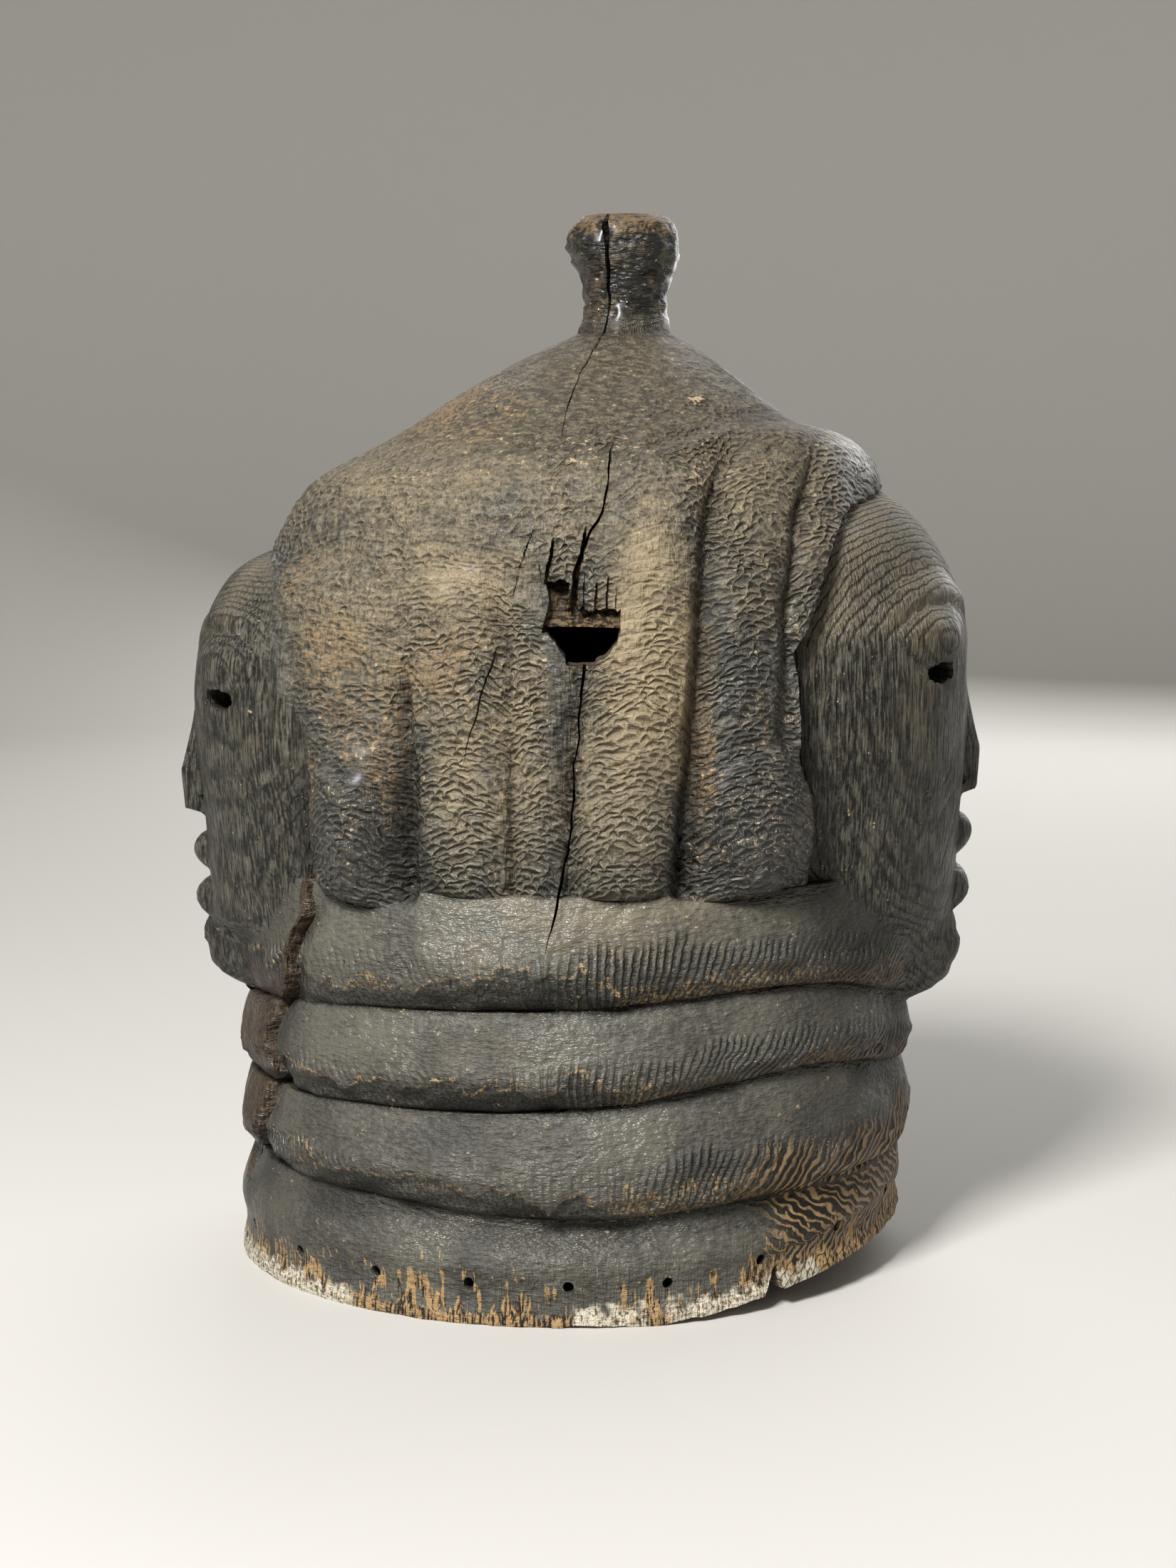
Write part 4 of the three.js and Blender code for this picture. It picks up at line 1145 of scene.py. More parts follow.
def blade(path, half, depth, seed, out_by=4.0):
    """A wedge along a crack: at each step a triangle, its edge below the surface at the crack's depth and
    its back outside the wood, wide enough that it is the crack's own width where it meets the surface.
    The path is stepped every 1.6 mm or so and wanders with soft noise."""
    path = np.array(path, float)
    at = np.concatenate([[0], np.cumsum(np.hypot(*np.diff(path, axis=0).T))])
    steps = max(4, int(at[-1] / 1.6))
    t = np.linspace(0, at[-1], steps)
    x = np.interp(t, at, path[:, 0])
    z = np.interp(t, at, path[:, 1])
    line = (t, t * 0, t * 0)
    wander = 0.45 * noise(line, 3.1, seed) + 0.7 * noise(line, 9, seed + 1)
    width = np.interp(t, at, half)
    x = x + wander * np.minimum(1, width / 0.3)
    width = np.maximum(width * (1 + 0.3 * noise(line, 4, seed + 2)), 0.04)
    reach = depth * np.clip(width / np.max(width) * 1.4, 0.15, 1)
    y = south_y(x, np.clip(z, 0, HEIGHT - 6))
    here = np.stack([x, y, z], axis=-1)
    out = np.stack([x - axis_x(z), y, np.zeros_like(z)], axis=-1)
    out = out / np.linalg.norm(out, axis=1, keepdims=True)
    side = np.cross(out, [0, 0, 1.0])
    back = width * (1 + out_by / reach)
    left = here + out * out_by + side * back[:, None]
    right = here + out * out_by - side * back[:, None]
    edge = here - out * reach[:, None]
    points = np.stack([left, right, edge], axis=1).reshape(-1, 3)
    i = np.arange(steps - 1) * 3
    sides = ((0, 1), (1, 2), (2, 0))
    walls = [np.stack([i + a, i + b, i + b + 3, i + a + 3], axis=-1) for a, b in sides]
    last = (steps - 1) * 3
    ends = np.array([[2, 1, 0], [last, last + 1, last + 2]])
    return points, [*walls, ends]


def cut(piece, cutters, name):
    """Takes closed cutters out of the piece with an exact Boolean, and leaves no modifier on it."""
    points = []
    tables = {}
    start = 0
    for vertices, faces in cutters:
        points.append(vertices)
        for table in faces:
            tables.setdefault(table.shape[1], []).append(table + start)
        start += len(vertices)
    joined = [np.concatenate(group) for group in tables.values()]
    mesh = mesh_from(name, np.concatenate(points), joined)
    tool = bpy.data.objects.new(name, mesh)
    bpy.context.scene.collection.objects.link(tool)
    recalculate(mesh)
    modifier = piece.modifiers.new(name, "BOOLEAN")
    modifier.operation = "DIFFERENCE"
    modifier.solver = "MANIFOLD"
    modifier.object = tool
    bpy.context.view_layer.update()
    before = len(piece.data.vertices)
    finished = bpy.data.meshes.new_from_object(piece.evaluated_get(bpy.context.evaluated_depsgraph_get()))
    piece.modifiers.clear()
    old = piece.data
    piece.data = finished
    finished.name = old.name
    bpy.data.meshes.remove(old)
    bpy.data.objects.remove(tool)
    bpy.data.meshes.remove(mesh)
    if len(finished.vertices) == before or not len(finished.polygons):
        raise RuntimeError(f"{name} took nothing out of the wood")


def recalculate(mesh):
    """Turns the faces of closed pieces of mesh outwards."""
    work = bmesh.new()
    work.from_mesh(mesh)
    bmesh.ops.recalc_face_normals(work, faces=work.faces)
    work.to_mesh(mesh)
    work.free()


# Measures kept on the surface for the finish

TABLE_STEP = 0.4  # degrees
TABLE_ROWS = 480
TABLE_TOP = HEIGHT - 0.5


def blurred(table, cells_around, cells_up):
    """A table of radii smoothed by a moving average, twice, closed round the mask and held at the ends."""
    for _ in range(2):
        wide = np.concatenate([table[-cells_around:], table, table[:cells_around]])
        total = np.cumsum(np.concatenate([wide[:1] * 0, wide]), axis=0)
        table = (total[2 * cells_around + 1 :] - total[: -2 * cells_around - 1]) / (2 * cells_around + 1)
        tall = np.pad(table, ((0, 0), (cells_up, cells_up)), mode="edge")
        total = np.cumsum(np.concatenate([tall[:, :1] * 0, tall], axis=1), axis=1)
        table = (total[:, 2 * cells_up + 1 :] - total[:, : -2 * cells_up - 1]) / (2 * cells_up + 1)
    return table


def radius_tables(relief):
    """Worn radius on an even table of angles and heights, and the same smoothed over about 9 mm and over
    about 30 mm."""
    angle = np.arange(round(360 / TABLE_STEP)) * TABLE_STEP - 180
    angle, z = np.meshgrid(angle, np.linspace(0, TABLE_TOP, TABLE_ROWS), indexing="ij")
    radius = outer_radius(angle, z)
    worn = radius + relief * wear(angle, z, to_point(angle, z, radius))
    return worn, blurred(worn, 6, 6), blurred(worn, 22, 10)


def looked_up(table, angle, z):
    """The value of a table of angles and heights at each place, blended from its four nearest cells."""
    i = np.mod(angle + 180, 360) / TABLE_STEP
    j = np.clip(z, 0, TABLE_TOP) / TABLE_TOP * (TABLE_ROWS - 1)
    i0 = np.floor(i).astype(int)
    j0 = np.minimum(np.floor(j).astype(int), TABLE_ROWS - 2)
    s = i - i0
    t = j - j0
    i0 = i0 % table.shape[0]
    i1 = (i0 + 1) % table.shape[0]
    low = lerp(table[i0, j0], table[i1, j0], s)
    high = lerp(table[i0, j0 + 1], table[i1, j0 + 1], s)
    return lerp(low, high, t)


def patches(table, x, z):
    """The largest share of the oval patches at a place, each fading out as a dome towards its edge."""
    return np.maximum.reduce([share * dome(oval_away(x, z, *oval), 0.7) for *oval, share in table])


def in_hollow(x, y, z):
    """Whether a place is on the hollow's wall: within 2.2 mm of the clean hollow."""
    angle = np.degrees(np.arctan2(y, x))
    near = np.hypot(x, y) < cavity_radius(angle, np.minimum(z, CAVITY_TOP)) + 2.2
    return near & (z < CAVITY_TOP + 2.5)


def bared_slab(x, y, z, soft):
    """How bare the wood beside the long split is: a band west of it on the lower rolls, and a narrow seam
    along all of it."""
    from_split = x - split_line(z)
    band = smoothstep(from_split, -22 - 10 * soft, -14) * (1 - smoothstep(from_split, 1.2, 2.6))
    low_part = smoothstep(z, 26, 34) * (1 - smoothstep(z + 8 * soft, 112, 124))
    seam = dome((from_split + 0.8) / 2.6) * (z > 28) * (z < 152)
    near = 1 - smoothstep(y + 26 * soft, 2, 30)
    return near * np.maximum(0.85 * band * low_part, (y < 0) * seam)


def fresh_breaks(x, y, z):
    """Where broken wood is brown and not blackened: round the hole and along the long split."""
    near_hole = dome(oval_away(x, z, 1, 254, 17, 16))
    near_split = dome((x - split_line(z)) / 9) * (z < 158) * (z > 25)
    return (y < 0) * np.maximum(near_hole, near_split)


def surface_measures(points, relief):
    """What the finish reads at each point: which part of the mask it is on, the counts of the growth rings
    and combed lines, its depth below the worn surface, how hollow it lies, which sets the painted shade, and
    its height over the rim."""
    x, y, z = points.T
    middle = axis_x(z)
    angle = np.degrees(np.arctan2(y, x - middle))
    nominal = outer_radius(angle, z)
    on_surface = to_point(angle, z, nominal)
    soft = 0.5 * noise(on_surface, 17, 61) + 0.3 * noise(on_surface, 8, 62)
    worn, smooth, wide = (looked_up(table, angle, z) for table in radius_tables(relief))
    below = worn - np.hypot(x - middle, y)

    # the part of the mask
    jaw = (z < hair_line(angle)) & (neck_radius(angle, z) > nominal - 0.8)
    face = np.where(jaw, 0, in_face(angle, z) * (below < 30))
    over_line = smoothstep(z - hair_line(angle), -0.5, 0.3)
    hair = (1 - face) * over_line * (1 - smoothstep(z, CROWN_TOP, CROWN_TOP + 6))
    in_neck = (1 - face) * (1 - over_line)
    band, up = neck_place(angle, z)
    u = along_neck(angle)

    # the patches of the south side, carried over to the north side mirrored and a little wider
    north = smoothstep(y + 30 * soft, -16, 34)
    dusty, rusty, smooth_worn, flecked, tarry = (
        lerp(patches(table, x, z), patches(table, 12 - 0.9 * x, z), north)
        for table in (DUSTY, RUSTY, SMOOTH, FLECKED, TARRY)
    )
    crust = np.maximum.reduce([dome((u - at) / half) for at, half in CRUSTED])

    # painted shade, partly sooty: the colour darkens under the rolls, at the mask's two ends, in grooves and
    # valleys where shade falls, and low in the hair
    underside = in_neck * (band > 0) * (1 - smoothstep(up + 0.1 * soft, 0.28, 0.58))
    under_rolls = in_neck * (band == 0) * smoothstep(up + 0.2 * soft, 0.62, 0.9)
    ends = in_neck * smoothstep(np.abs(u + 18), 60, 118)
    groove = smoothstep(smooth - worn, 0.5, 2.2) * lerp(0.55, 1, in_neck)
    valley = smoothstep(wide - worn, 1.6, 5.5)
    low_hair = hair * (1 - smoothstep(z + 6 * soft, 158, 196))
    soot = np.maximum.reduce([
        0.15 * underside, 0.6 * under_rolls, 0.55 * ends, groove, 0.85 * valley, 0.28 * low_hair,
    ])
    return {
        "hair": hair,
        "face": face,
        "knob": smoothstep(z, CROWN_TOP - 1, CROWN_TOP + 8),
        "hair_rows": hair_rows(angle, z, on_surface),
        "hair_across": round_side(angle) / CUT_WIDTH,
        "face_rings": face_rings(angle, z, on_surface, nominal),
        "comb": comb_strength(angle, z, on_surface),
        "comb_lines": comb_lines(angle, z, on_surface),
        "around": round_side(angle),
        "rim_height": z - rim_level(angle),
        "depth": np.where(z > HEIGHT - 4, 0, np.clip(below, 0, 20)),
        "inside": in_hollow(x, y, z).astype(float),
        "dust": np.clip(dusty + 0.45 * soft - 0.4 * face, 0, 1.2),
        "rust": np.clip(rusty + 0.5 * soft - 0.3 * face - 0.6 * in_neck, 0, 1.2),
        "soot": np.clip(soot, 0, 1),
        "sheen": 0.5 + 0.5 * noise(on_surface, 26, 63) + 0.3 * noise(on_surface, 11, 64),
        "crust": np.where(in_neck > 0.5, crust, flecked) + 0.3 * soft,
        "worn": np.clip(smooth_worn + 0.35 * soft - 0.7 * tarry, 0, 1),
        "tar": hair * np.clip(tarry + 0.4 * soft, 0, 1),
        "slab": bared_slab(x, y, z, soft),
        "lip": torn_lip(angle, z, on_surface),
        "fresh": fresh_breaks(x, y, z),
    }


def keep_measures(mesh, measures):
    """Writes each measure as one number a vertex."""
    for name, values in measures.items():
        layer = mesh.attributes.new(name, "FLOAT", "POINT")
        layer.data.foreach_set("value", np.ascontiguousarray(values, dtype=np.float32))


# Materials


def paint(red, green, blue):
    """A colour given as 0 to 255 on a screen, as the linear numbers that a shader takes."""
    shares = [v / 255 for v in (red, green, blue)]
    linear = [s / 12.92 if s <= 0.04045 else ((s + 0.055) / 1.055) ** 2.4 for s in shares]
    return (*linear, 1.0)


def math_method(operation, reflected=False):
    """A method that adds a Math node, with its two values the other way round for a reflected operator."""

    def method(self, other):
        values = (other, self) if reflected else (self, other)
        return self.finish.math(operation, *values)

    return method


class Signal:
    """A number that varies over a surface, so that a material's maths reads as Python."""

    def __init__(self, finish, socket):
        self.finish = finish
        self.socket = socket

    __add__ = math_method("ADD")
    __radd__ = math_method("ADD", reflected=True)
    __sub__ = math_method("SUBTRACT")
    __rsub__ = math_method("SUBTRACT", reflected=True)
    __mul__ = math_method("MULTIPLY")
    __rmul__ = math_method("MULTIPLY", reflected=True)
    __truediv__ = math_method("DIVIDE")


class Finish:
    """A material, its colours by name and the few ways its nodes are made."""

    def __init__(self, name, colours):
        self.colours = colours
        self.material = bpy.data.materials.new(name)
        self.material.use_nodes = True
        self.tree = self.material.node_tree
        self.tree.nodes.clear()

    def node(self, kind, settings=None, inputs=None):
        """A node of this kind, with its settings put in before its sockets' values and links."""
        made = self.tree.nodes.new(kind)
        for key, value in (settings or {}).items():
            setattr(made, key, value)
        for key, value in (inputs or {}).items():
            if isinstance(value, Signal):
                self.tree.links.new(value.socket, made.inputs[key])
            else:
                made.inputs[key].default_value = value
        return made

    def out(self, made, key=0):
        return Signal(self, made.outputs[key])

    def math(self, operation, *values):
        return self.out(self.node("ShaderNodeMath", {"operation": operation}, dict(enumerate(values))))

    def least(self, a, b):
        return self.math("MINIMUM", a, b)

    def most(self, a, b):
        return self.math("MAXIMUM", a, b)

    def fraction(self, value):
        return self.math("FRACT", value)

    def arch(self, t):
        """A half round over t from 0 to 1, 2 * sqrt(t * (1 - t)): 0 at either end and 1 at the middle."""
        return 2 * self.math("SQRT", t * (1 - t))

    def ridge(self, count, low, high):
        """0 where a count passes a whole number, and 1 where it is further from one than high."""
        part = self.fraction(count)
        return self.smooth(self.least(part, 1 - part), low, high)

    def measure(self, name):
        return self.out(self.node("ShaderNodeAttribute", {"attribute_name": name}), "Fac")

    def smooth(self, value, low, high, out_low=0.0, out_high=1.0):
        """0 to 1, or the two outs, as the value goes from low to high."""
        settings = {"interpolation_type": "SMOOTHSTEP", "clamp": True}
        sockets = {"Value": value, "From Min": low, "From Max": high, "To Min": out_low, "To Max": out_high}
        return self.out(self.node("ShaderNodeMapRange", settings, sockets))

    def mix(self, share, a, b):
        """Colour a where the share is 0 and b where it is 1, each a colour or the name of one."""
        a, b = (self.colours[v] if isinstance(v, str) else v for v in (a, b))
        return self.out(self.node("ShaderNodeMix", {"data_type": "RGBA"}, {0: share, 6: a, 7: b}), 2)

    def stretched(self, vector, sizes):
        """The vector divided by a size along each axis."""
        sockets = {0: vector, 1: tuple(1 / s for s in sizes)}
        return self.out(self.node("ShaderNodeVectorMath", {"operation": "MULTIPLY"}, sockets))

    def soft_noise(self, vector, sizes, detail=2.0, roughness=0.5, distortion=0.0):
        """Noise from 0 to 1 whose lumps have these sizes in millimetres."""
        sizes = (sizes,) * 3 if isinstance(sizes, (int, float)) else sizes
        sockets = {
            "Vector": self.stretched(vector, sizes),
            "Scale": 1.0,
            "Detail": detail,
            "Roughness": roughness,
            "Distortion": distortion,
        }
        return self.out(self.node("ShaderNodeTexNoise", {"noise_dimensions": "3D"}, sockets), "Fac")

    def shade(self, settings):
        """Puts a Principled shader with these values and links on the material, and returns that."""
        shader = self.node("ShaderNodeBsdfPrincipled", None, settings)
        self.node("ShaderNodeOutputMaterial", None, {"Surface": self.out(shader)})
        return self.material


# The carved wood. In these functions f is its finish, and w holds the signals that its patterns share


def wood_signals(f, measures):
    """The place in millimetres, the measures kept on the mesh, and noises of a few sizes from 0 to 1."""
    w = SimpleNamespace(**{name: f.measure(name) for name in measures})
    place = f.out(f.node("ShaderNodeTexCoord"), "Object")
    w.place = f.out(f.node("ShaderNodeVectorMath", {"operation": "SCALE"}, {0: place, "Scale": 1000.0}))
    parts = f.node("ShaderNodeSeparateXYZ", None, {"Vector": w.place})
    w.x, w.y, w.z = (f.out(parts, key) for key in "XYZ")
    w.lumps = f.soft_noise(w.place, 5.0, 1.0, 0.55)
    w.drift = f.soft_noise(w.place, (8, 8, 6), 1.0, 0.6)
    w.fine = f.soft_noise(w.place, 1.4, 2.0, 0.65)
    w.fibre = f.soft_noise(w.place, (1.0, 1.0, 10), 2.0, 0.6)
    w.crinkle = f.soft_noise(w.place, (3.6, 3.6, 1.3), 2.0, 0.65)
    w.grit = (w.fine - 0.5) * 0.7 + (w.lumps - 0.5) * 0.6
    w.specks = (w.fine - 0.5) * 1.1 + (w.crinkle - 0.5) * 0.7
    w.outside = 1 - w.inside
    w.neck = (1 - w.hair) * (1 - w.face) * (1 - w.knob)
    w.on_crown = f.smooth(w.z, 296, 316)
    return w


def add_gouge_cuts(f, w):
    """The hair's rows of gouge cuts, laid like fish scales: a cut has a round top edge, the next row starts
    over it half a cut along, and growth rings run through a few rows each."""
    phase = w.hair_rows + (w.lumps - 0.5) * 1.1 + (w.fine - 0.5) * 0.35
    row = f.math("FLOOR", phase)
    up = phase - row
    across = w.hair_across + row * 0.5 + (w.drift - 0.5) * 2.2 + (w.fine - 0.5) * 0.25
    own_arch = f.arch(f.fraction(across))
    next_arch = f.arch(f.fraction(across + 0.5))
    over = f.math("GREATER_THAN", up, own_arch)
    w.below_edge = own_arch - up + over * (1 + next_arch - own_arch)
    w.above_edge = up - own_arch + (1 - over) * (1 - next_arch + own_arch)
    arch_here = own_arch + over * (next_arch - own_arch)
    w.bite = f.smooth(arch_here + (w.drift - 0.5) * 1.4, 0.25, 0.95)
    w.rings = f.fraction(phase / ROWS_IN_RING)
    w.carved = 1 - f.smooth(w.worn + (w.lumps - 0.5) * 1.0 + (w.drift - 0.5) * 1.4, 0.1, 0.75) * 0.85
    w.cut_depth = 0.45 + f.smooth(w.sheen + (w.lumps - 0.5) * 1.6, 0.2, 0.9) * 0.9 + w.tar * 0.6


def add_lines(f, w):
    """The faces' fine flame grain and the rolls' combed lines, where their counts pass whole numbers."""
    w.face_line = 1 - f.ridge(w.face_rings + (w.lumps - 0.5) * 0.6, 0.0, 0.25)
    w.comb_ridge = f.ridge(w.comb_lines + (w.crinkle - 0.5) * 0.5, 0.03, 0.36)


def add_corner_grain(f, w):
    """The south-east corner, where grain zigzags down to the rim: bands of slanted lines in three
    directions, one under another."""
    wander = (w.lumps - 0.5) * 4.2 + (w.drift - 0.5) * 5 + (w.sheen - 0.5) * 4
    w.corner = (
        f.smooth(w.around + (w.sheen - 0.5) * 14 - f.smooth(w.z, 50, 25) * 14, 48, 70)
        * (1 - f.smooth(w.around, 158, 176))
        * (1 - f.smooth(w.z + (w.sheen - 0.5) * 14 + (w.fine - 0.5) * 12 - w.around * 0.06, 44, 60))
        * (1 - w.hair)
        * w.outside
        * (1 - f.smooth(w.y, -6, 14))
    )
    upper = (w.around - w.z * 0.5 + wander) / 4.4
    middle = (w.z * 0.9 + w.around * 0.5 + wander) / 3.3
    lower = (w.around * 0.9 - w.z * 0.75 + wander) / 3.3
    turn_high = f.smooth(w.z + (w.lumps - 0.5) * 5 - w.around * 0.03, 38, 39.5)
    turn_low = f.smooth(w.z - w.around * 0.16 + (w.lumps - 0.5) * 5, 8.5, 10)
    lines = lower * (1 - turn_low) + (middle * (1 - turn_high) + upper * turn_high) * turn_low
    w.corner_ridge = f.ridge(lines, 0.16, 0.34)


def add_worn_parts(f, w):
    """Where wood is bare or broken: the knob's top, the rim's foot, with tongues of bare wood that reach up
    it, and what lies below the surface."""
    w.knob_top = f.smooth(w.z + (w.lumps - 0.5) * 26 + (w.fine - 0.5) * 22, 385, 393)
    tongue = f.soft_noise(w.place, (3.8, 3.8, 16), 2.0, 0.6)
    reach = w.rim_height - (tongue - 0.5) * 78 - (w.fibre - 0.5) * 20 - (w.sheen - 0.5) * 9
    foot_edge = 1 - f.smooth(w.rim_height + (w.fine - 0.5) * 8, 2.5, 5)
    w.bare_edge = f.most(1 - f.smooth(reach, 6, 9), foot_edge) * (1 - w.hair)
    w.broken = f.smooth(w.depth, 0.9, 2.0) * f.smooth(w.rim_height, 1.5, 4.0)


def hair_relief(f, w):
    """Cuts, deepest just under their edges, and the rings' steps where the hair is carved, and lumps and
    fibre where it has worn smooth."""
    scoop = (w.below_edge * 0.45 - f.smooth(w.below_edge, 0.0, 0.75)) * (0.35 + w.bite * 0.9)
    scoop = scoop + (1 - f.smooth(w.above_edge, 0.0, 0.7)) * 0.3
    ring_step = f.least(w.rings / 0.82, (1 - w.rings) / 0.18)
    cuts = ring_step * (0.9 + w.tar * 0.8) + scoop * 1.25 * w.cut_depth
    worn_smooth = w.fibre * 1.1 + w.lumps * 0.9 + ring_step * 0.45
    skin = w.crinkle * (0.6 + w.on_crown * 1.2) + w.fine * 0.3 + w.tar * w.fibre * 1.2
    return cuts * w.carved + worn_smooth * (1 - w.carved) + skin


def roll_relief(f, w):
    """Crinkled wood with combed lines and torn edges, and fibre along the rim."""
    rim_band = 1 - f.smooth(w.rim_height, 12, 30)
    skin = w.lumps * 1.6 + w.crinkle * (1.2 + w.soot * 1.3) + w.fine * 0.2
    return skin + w.comb_ridge * w.comb * 1.5 + (w.lip * 2.5 + rim_band * 1.4) * w.fibre


def wood_relief(f, w):
    """The height of the fine relief all over the mask, in millimetres."""
    face_relief = w.fibre * 1.5 - w.face_line * 0.55 + w.fine * 0.3 + w.lumps * 1.0
    corner_relief = w.corner_ridge * 2.4 + w.fine * 0.4
    wrinkle = f.soft_noise(w.place, (4.2, 4.2, 1.3), 1.0, 0.5, 0.6)
    carved = (
        w.hair * hair_relief(f, w)
        + w.face * face_relief
        + w.neck * (roll_relief(f, w) * (1 - w.corner) + corner_relief * w.corner)
        + w.knob * (wrinkle * 2.6 + w.lumps * 1.6 + w.fine * 0.3)
    )
    return carved * w.outside + w.inside * (w.fibre * 0.7 + w.fine * 0.2)


def hair_colour(f, w):
    """Charcoal worn to ash, dust in two browns, thickest dust that also paints a highlight on lobe D's
    crest, dark fibre, dust along the lips of the cuts with painted shadow just under the lips and painted
    shade under the rings' steps, a browner crown and specks of rust."""
    low = 1 - f.smooth(w.z + (w.lumps - 0.5) * 50, 172, 226)
    charcoal = f.mix(f.smooth(w.crinkle * 0.6 + w.lumps * 0.4, 0.4, 0.62), "charcoal", "ash")
    streak = f.smooth(w.fine * 0.3 + w.crinkle * 0.3 + w.fibre * 0.4, 0.38, 0.6)
    brown = f.mix(streak, "earth", f.mix(low * 0.8, "dust", "grey_dust"))
    base = f.mix(f.smooth(w.dust + w.grit * 0.8, 0.1, 1.0), charcoal, brown)
    # thickest dust, in the seam's lighter colour; on lobe D's crest it is a painted highlight
    thick_dust_and_highlight = f.smooth(w.dust + w.grit * 0.4, 0.75, 1.2)
    base = f.mix(thick_dust_and_highlight * (0.75 - low * 0.4), base, "seam")
    base = f.mix(f.smooth(w.fibre * 0.6 + w.fine * 0.4, 0.54, 0.66) * 0.5, base, "soot")
    base = f.mix(w.tar * (0.05 + w.lumps * 0.5), base, "charcoal")

    # painted shadow: a dark crescent just under each cut's lip, where the lip shades the cut
    crescent = f.smooth(w.below_edge, 0.0, 0.25) * (1 - f.smooth(w.below_edge, 0.3, 1.3))
    base = f.mix(crescent * w.carved * w.bite * (0.5 + w.tar * 0.3), base, "soot")
    seam = (1 - f.smooth(w.above_edge + (w.crinkle - 0.5) * 1.2, 0.1, 0.34)) * w.carved
    seam_dust = f.mix(low * 0.5, "seam", "grey_dust")
    seam_colour = f.mix(f.smooth(w.dust + w.grit * 1.4, 0.0, 0.7), "ash", seam_dust)
    base = f.mix(seam * (0.2 + w.cut_depth * 0.3), base, seam_colour)
    # painted shade under each growth ring's step, a little less where the hair is carved
    under_ring = (1 - f.smooth(w.rings, 0.02, 0.28)) * (1 - w.carved * 0.35)
    base = f.mix(under_ring * 0.35, base, "soot")

    crown_patches = 0.6 + f.smooth(w.lumps + (w.drift - 0.5), 0.4, 0.7) * 0.3
    base = f.mix(w.on_crown * crown_patches, base, "earth")
    crown_grain = f.mix(f.smooth(w.crinkle * 0.7 + w.fine * 0.3, 0.42, 0.62), "umber", "dust")
    base = f.mix(w.on_crown * 0.3, base, crown_grain)
    return f.mix(f.smooth(w.rust * 0.42 + w.specks, 0.24, 0.46) * 0.7, base, "rust")


def face_colour(f, w):
    """Soot in fine upright grain, dust on the forehead, ash in streaks and dark flame lines."""
    base = f.mix(f.smooth(w.fibre * 0.7 + w.fine * 0.3, 0.4, 0.6), "soot", "face")
    brow_dust = f.smooth(w.z + (w.sheen - 0.5) * 60 + (w.fibre - 0.5) * 70, 215, 280)
    base = f.mix(brow_dust * 0.55, base, "dust")
    base = f.mix(f.smooth(w.fibre + (w.drift - 0.5) * 0.9, 0.5, 0.72) * 0.5, base, "ash")
    return f.mix(w.face_line * 0.5, base, "soot")


def roll_colour(f, w):
    """Charcoal worn grey, dust and rust, painted shade in the grooves between the combed lines, torn edges
    that are tan above with painted shade in streaks below, and the corner's tan ridges."""
    worn_grey = f.smooth(w.crinkle * 0.45 + w.fibre * 0.25 + w.sheen * 0.3, 0.3, 0.68)
    base = f.mix(worn_grey * 0.85 + 0.1, "charcoal", "ash")
    base = f.mix(f.smooth(w.dust + w.grit * 0.6, 0.0, 0.9) * 0.5, base, "dust")
    base = f.mix(f.smooth(w.rust * 0.42 + w.specks, 0.3, 0.46) * 0.6, base, "rust")
    # painted shade in the grooves between the combed lines
    base = f.mix((1 - w.comb_ridge) * w.comb * 0.85, base, "soot")
    torn_edge = f.smooth(w.lip, 0.05, 0.15) * (1 - f.smooth(w.lip, 0.2, 0.45))
    base = f.mix(torn_edge * f.smooth(w.fine + (w.fibre - 0.5), 0.52, 0.64), base, "tan")
    # painted shade below a roll's torn lip, in streaks
    streaks = f.smooth(w.fibre * 0.6 + w.fine * 0.4, 0.66, 0.4)
    base = f.mix(f.smooth(w.lip, 0.1, 0.5) * (0.15 + streaks * 0.5), base, "soot")
    ridges = w.corner_ridge * f.smooth(w.grit + (w.fibre - 0.5), -0.6, 0.1)
    return f.mix(w.corner, base, f.mix(ridges, "soot", "tan"))


def knob_colour(f, w):
    """Soot and earth, raw wood on the worn top and brown wood on the west side of the crack."""
    base = f.mix(f.smooth(w.lumps + (w.fine - 0.5) * 0.6, 0.42, 0.68), "soot", "earth")
    base = f.mix(w.knob_top * 0.7, base, "raw")
    bared = (1 - f.smooth(w.x, 8, 10)) * (1 - f.smooth(w.z, 372, 380))
    return f.mix(bared * f.smooth(w.fine + (w.lumps - 0.5), 0.3, 0.6) * 0.6, base, "slab")


def with_worn_foot(f, w, base):
    """Bare tan wood with dark fibre on the rim's foot, and a pale crust on it in places."""
    bare_colour = f.mix(f.smooth(w.fibre * 0.75 + w.fine * 0.25, 0.44, 0.53), "umber", "tan")
    base = f.mix(w.bare_edge * w.outside, base, bare_colour)
    low = 1 - f.smooth(w.rim_height + (w.lumps - 0.5) * 16, 4, 8)
    pale = low * f.smooth(w.crust, 0.35, 0.6) * (1 - w.hair)
    pale_colour = f.mix(f.smooth(w.fine * 0.6 + w.fibre * 0.4, 0.4, 0.52), "raw", "pale")
    return f.mix(pale * w.outside * 0.85, base, pale_colour)


def with_chips(f, w, base):
    """Small chips all over, pale flecks in the hair and scratches on the rolls and faces."""
    chip = f.smooth(w.lumps * 0.5 + w.fine * 0.5, 0.66, 0.69) * (1 - w.knob * 0.7)
    base = f.mix(chip * 0.8, base, "chip")
    # the flecks along the crown's torn crease also paint its small highlights
    fleck = f.smooth(w.fine * 0.45 + w.crinkle * 0.55 + w.crust * 0.09, 0.66, 0.7) * w.hair
    base = f.mix(fleck * 0.85, base, "chip")
    scratch = f.smooth(w.fibre * 0.7 + w.fine * 0.3, 0.66, 0.7) * (1 - w.hair) * w.outside
    return f.mix(scratch * (1 - w.knob) * 0.5, base, "dust")


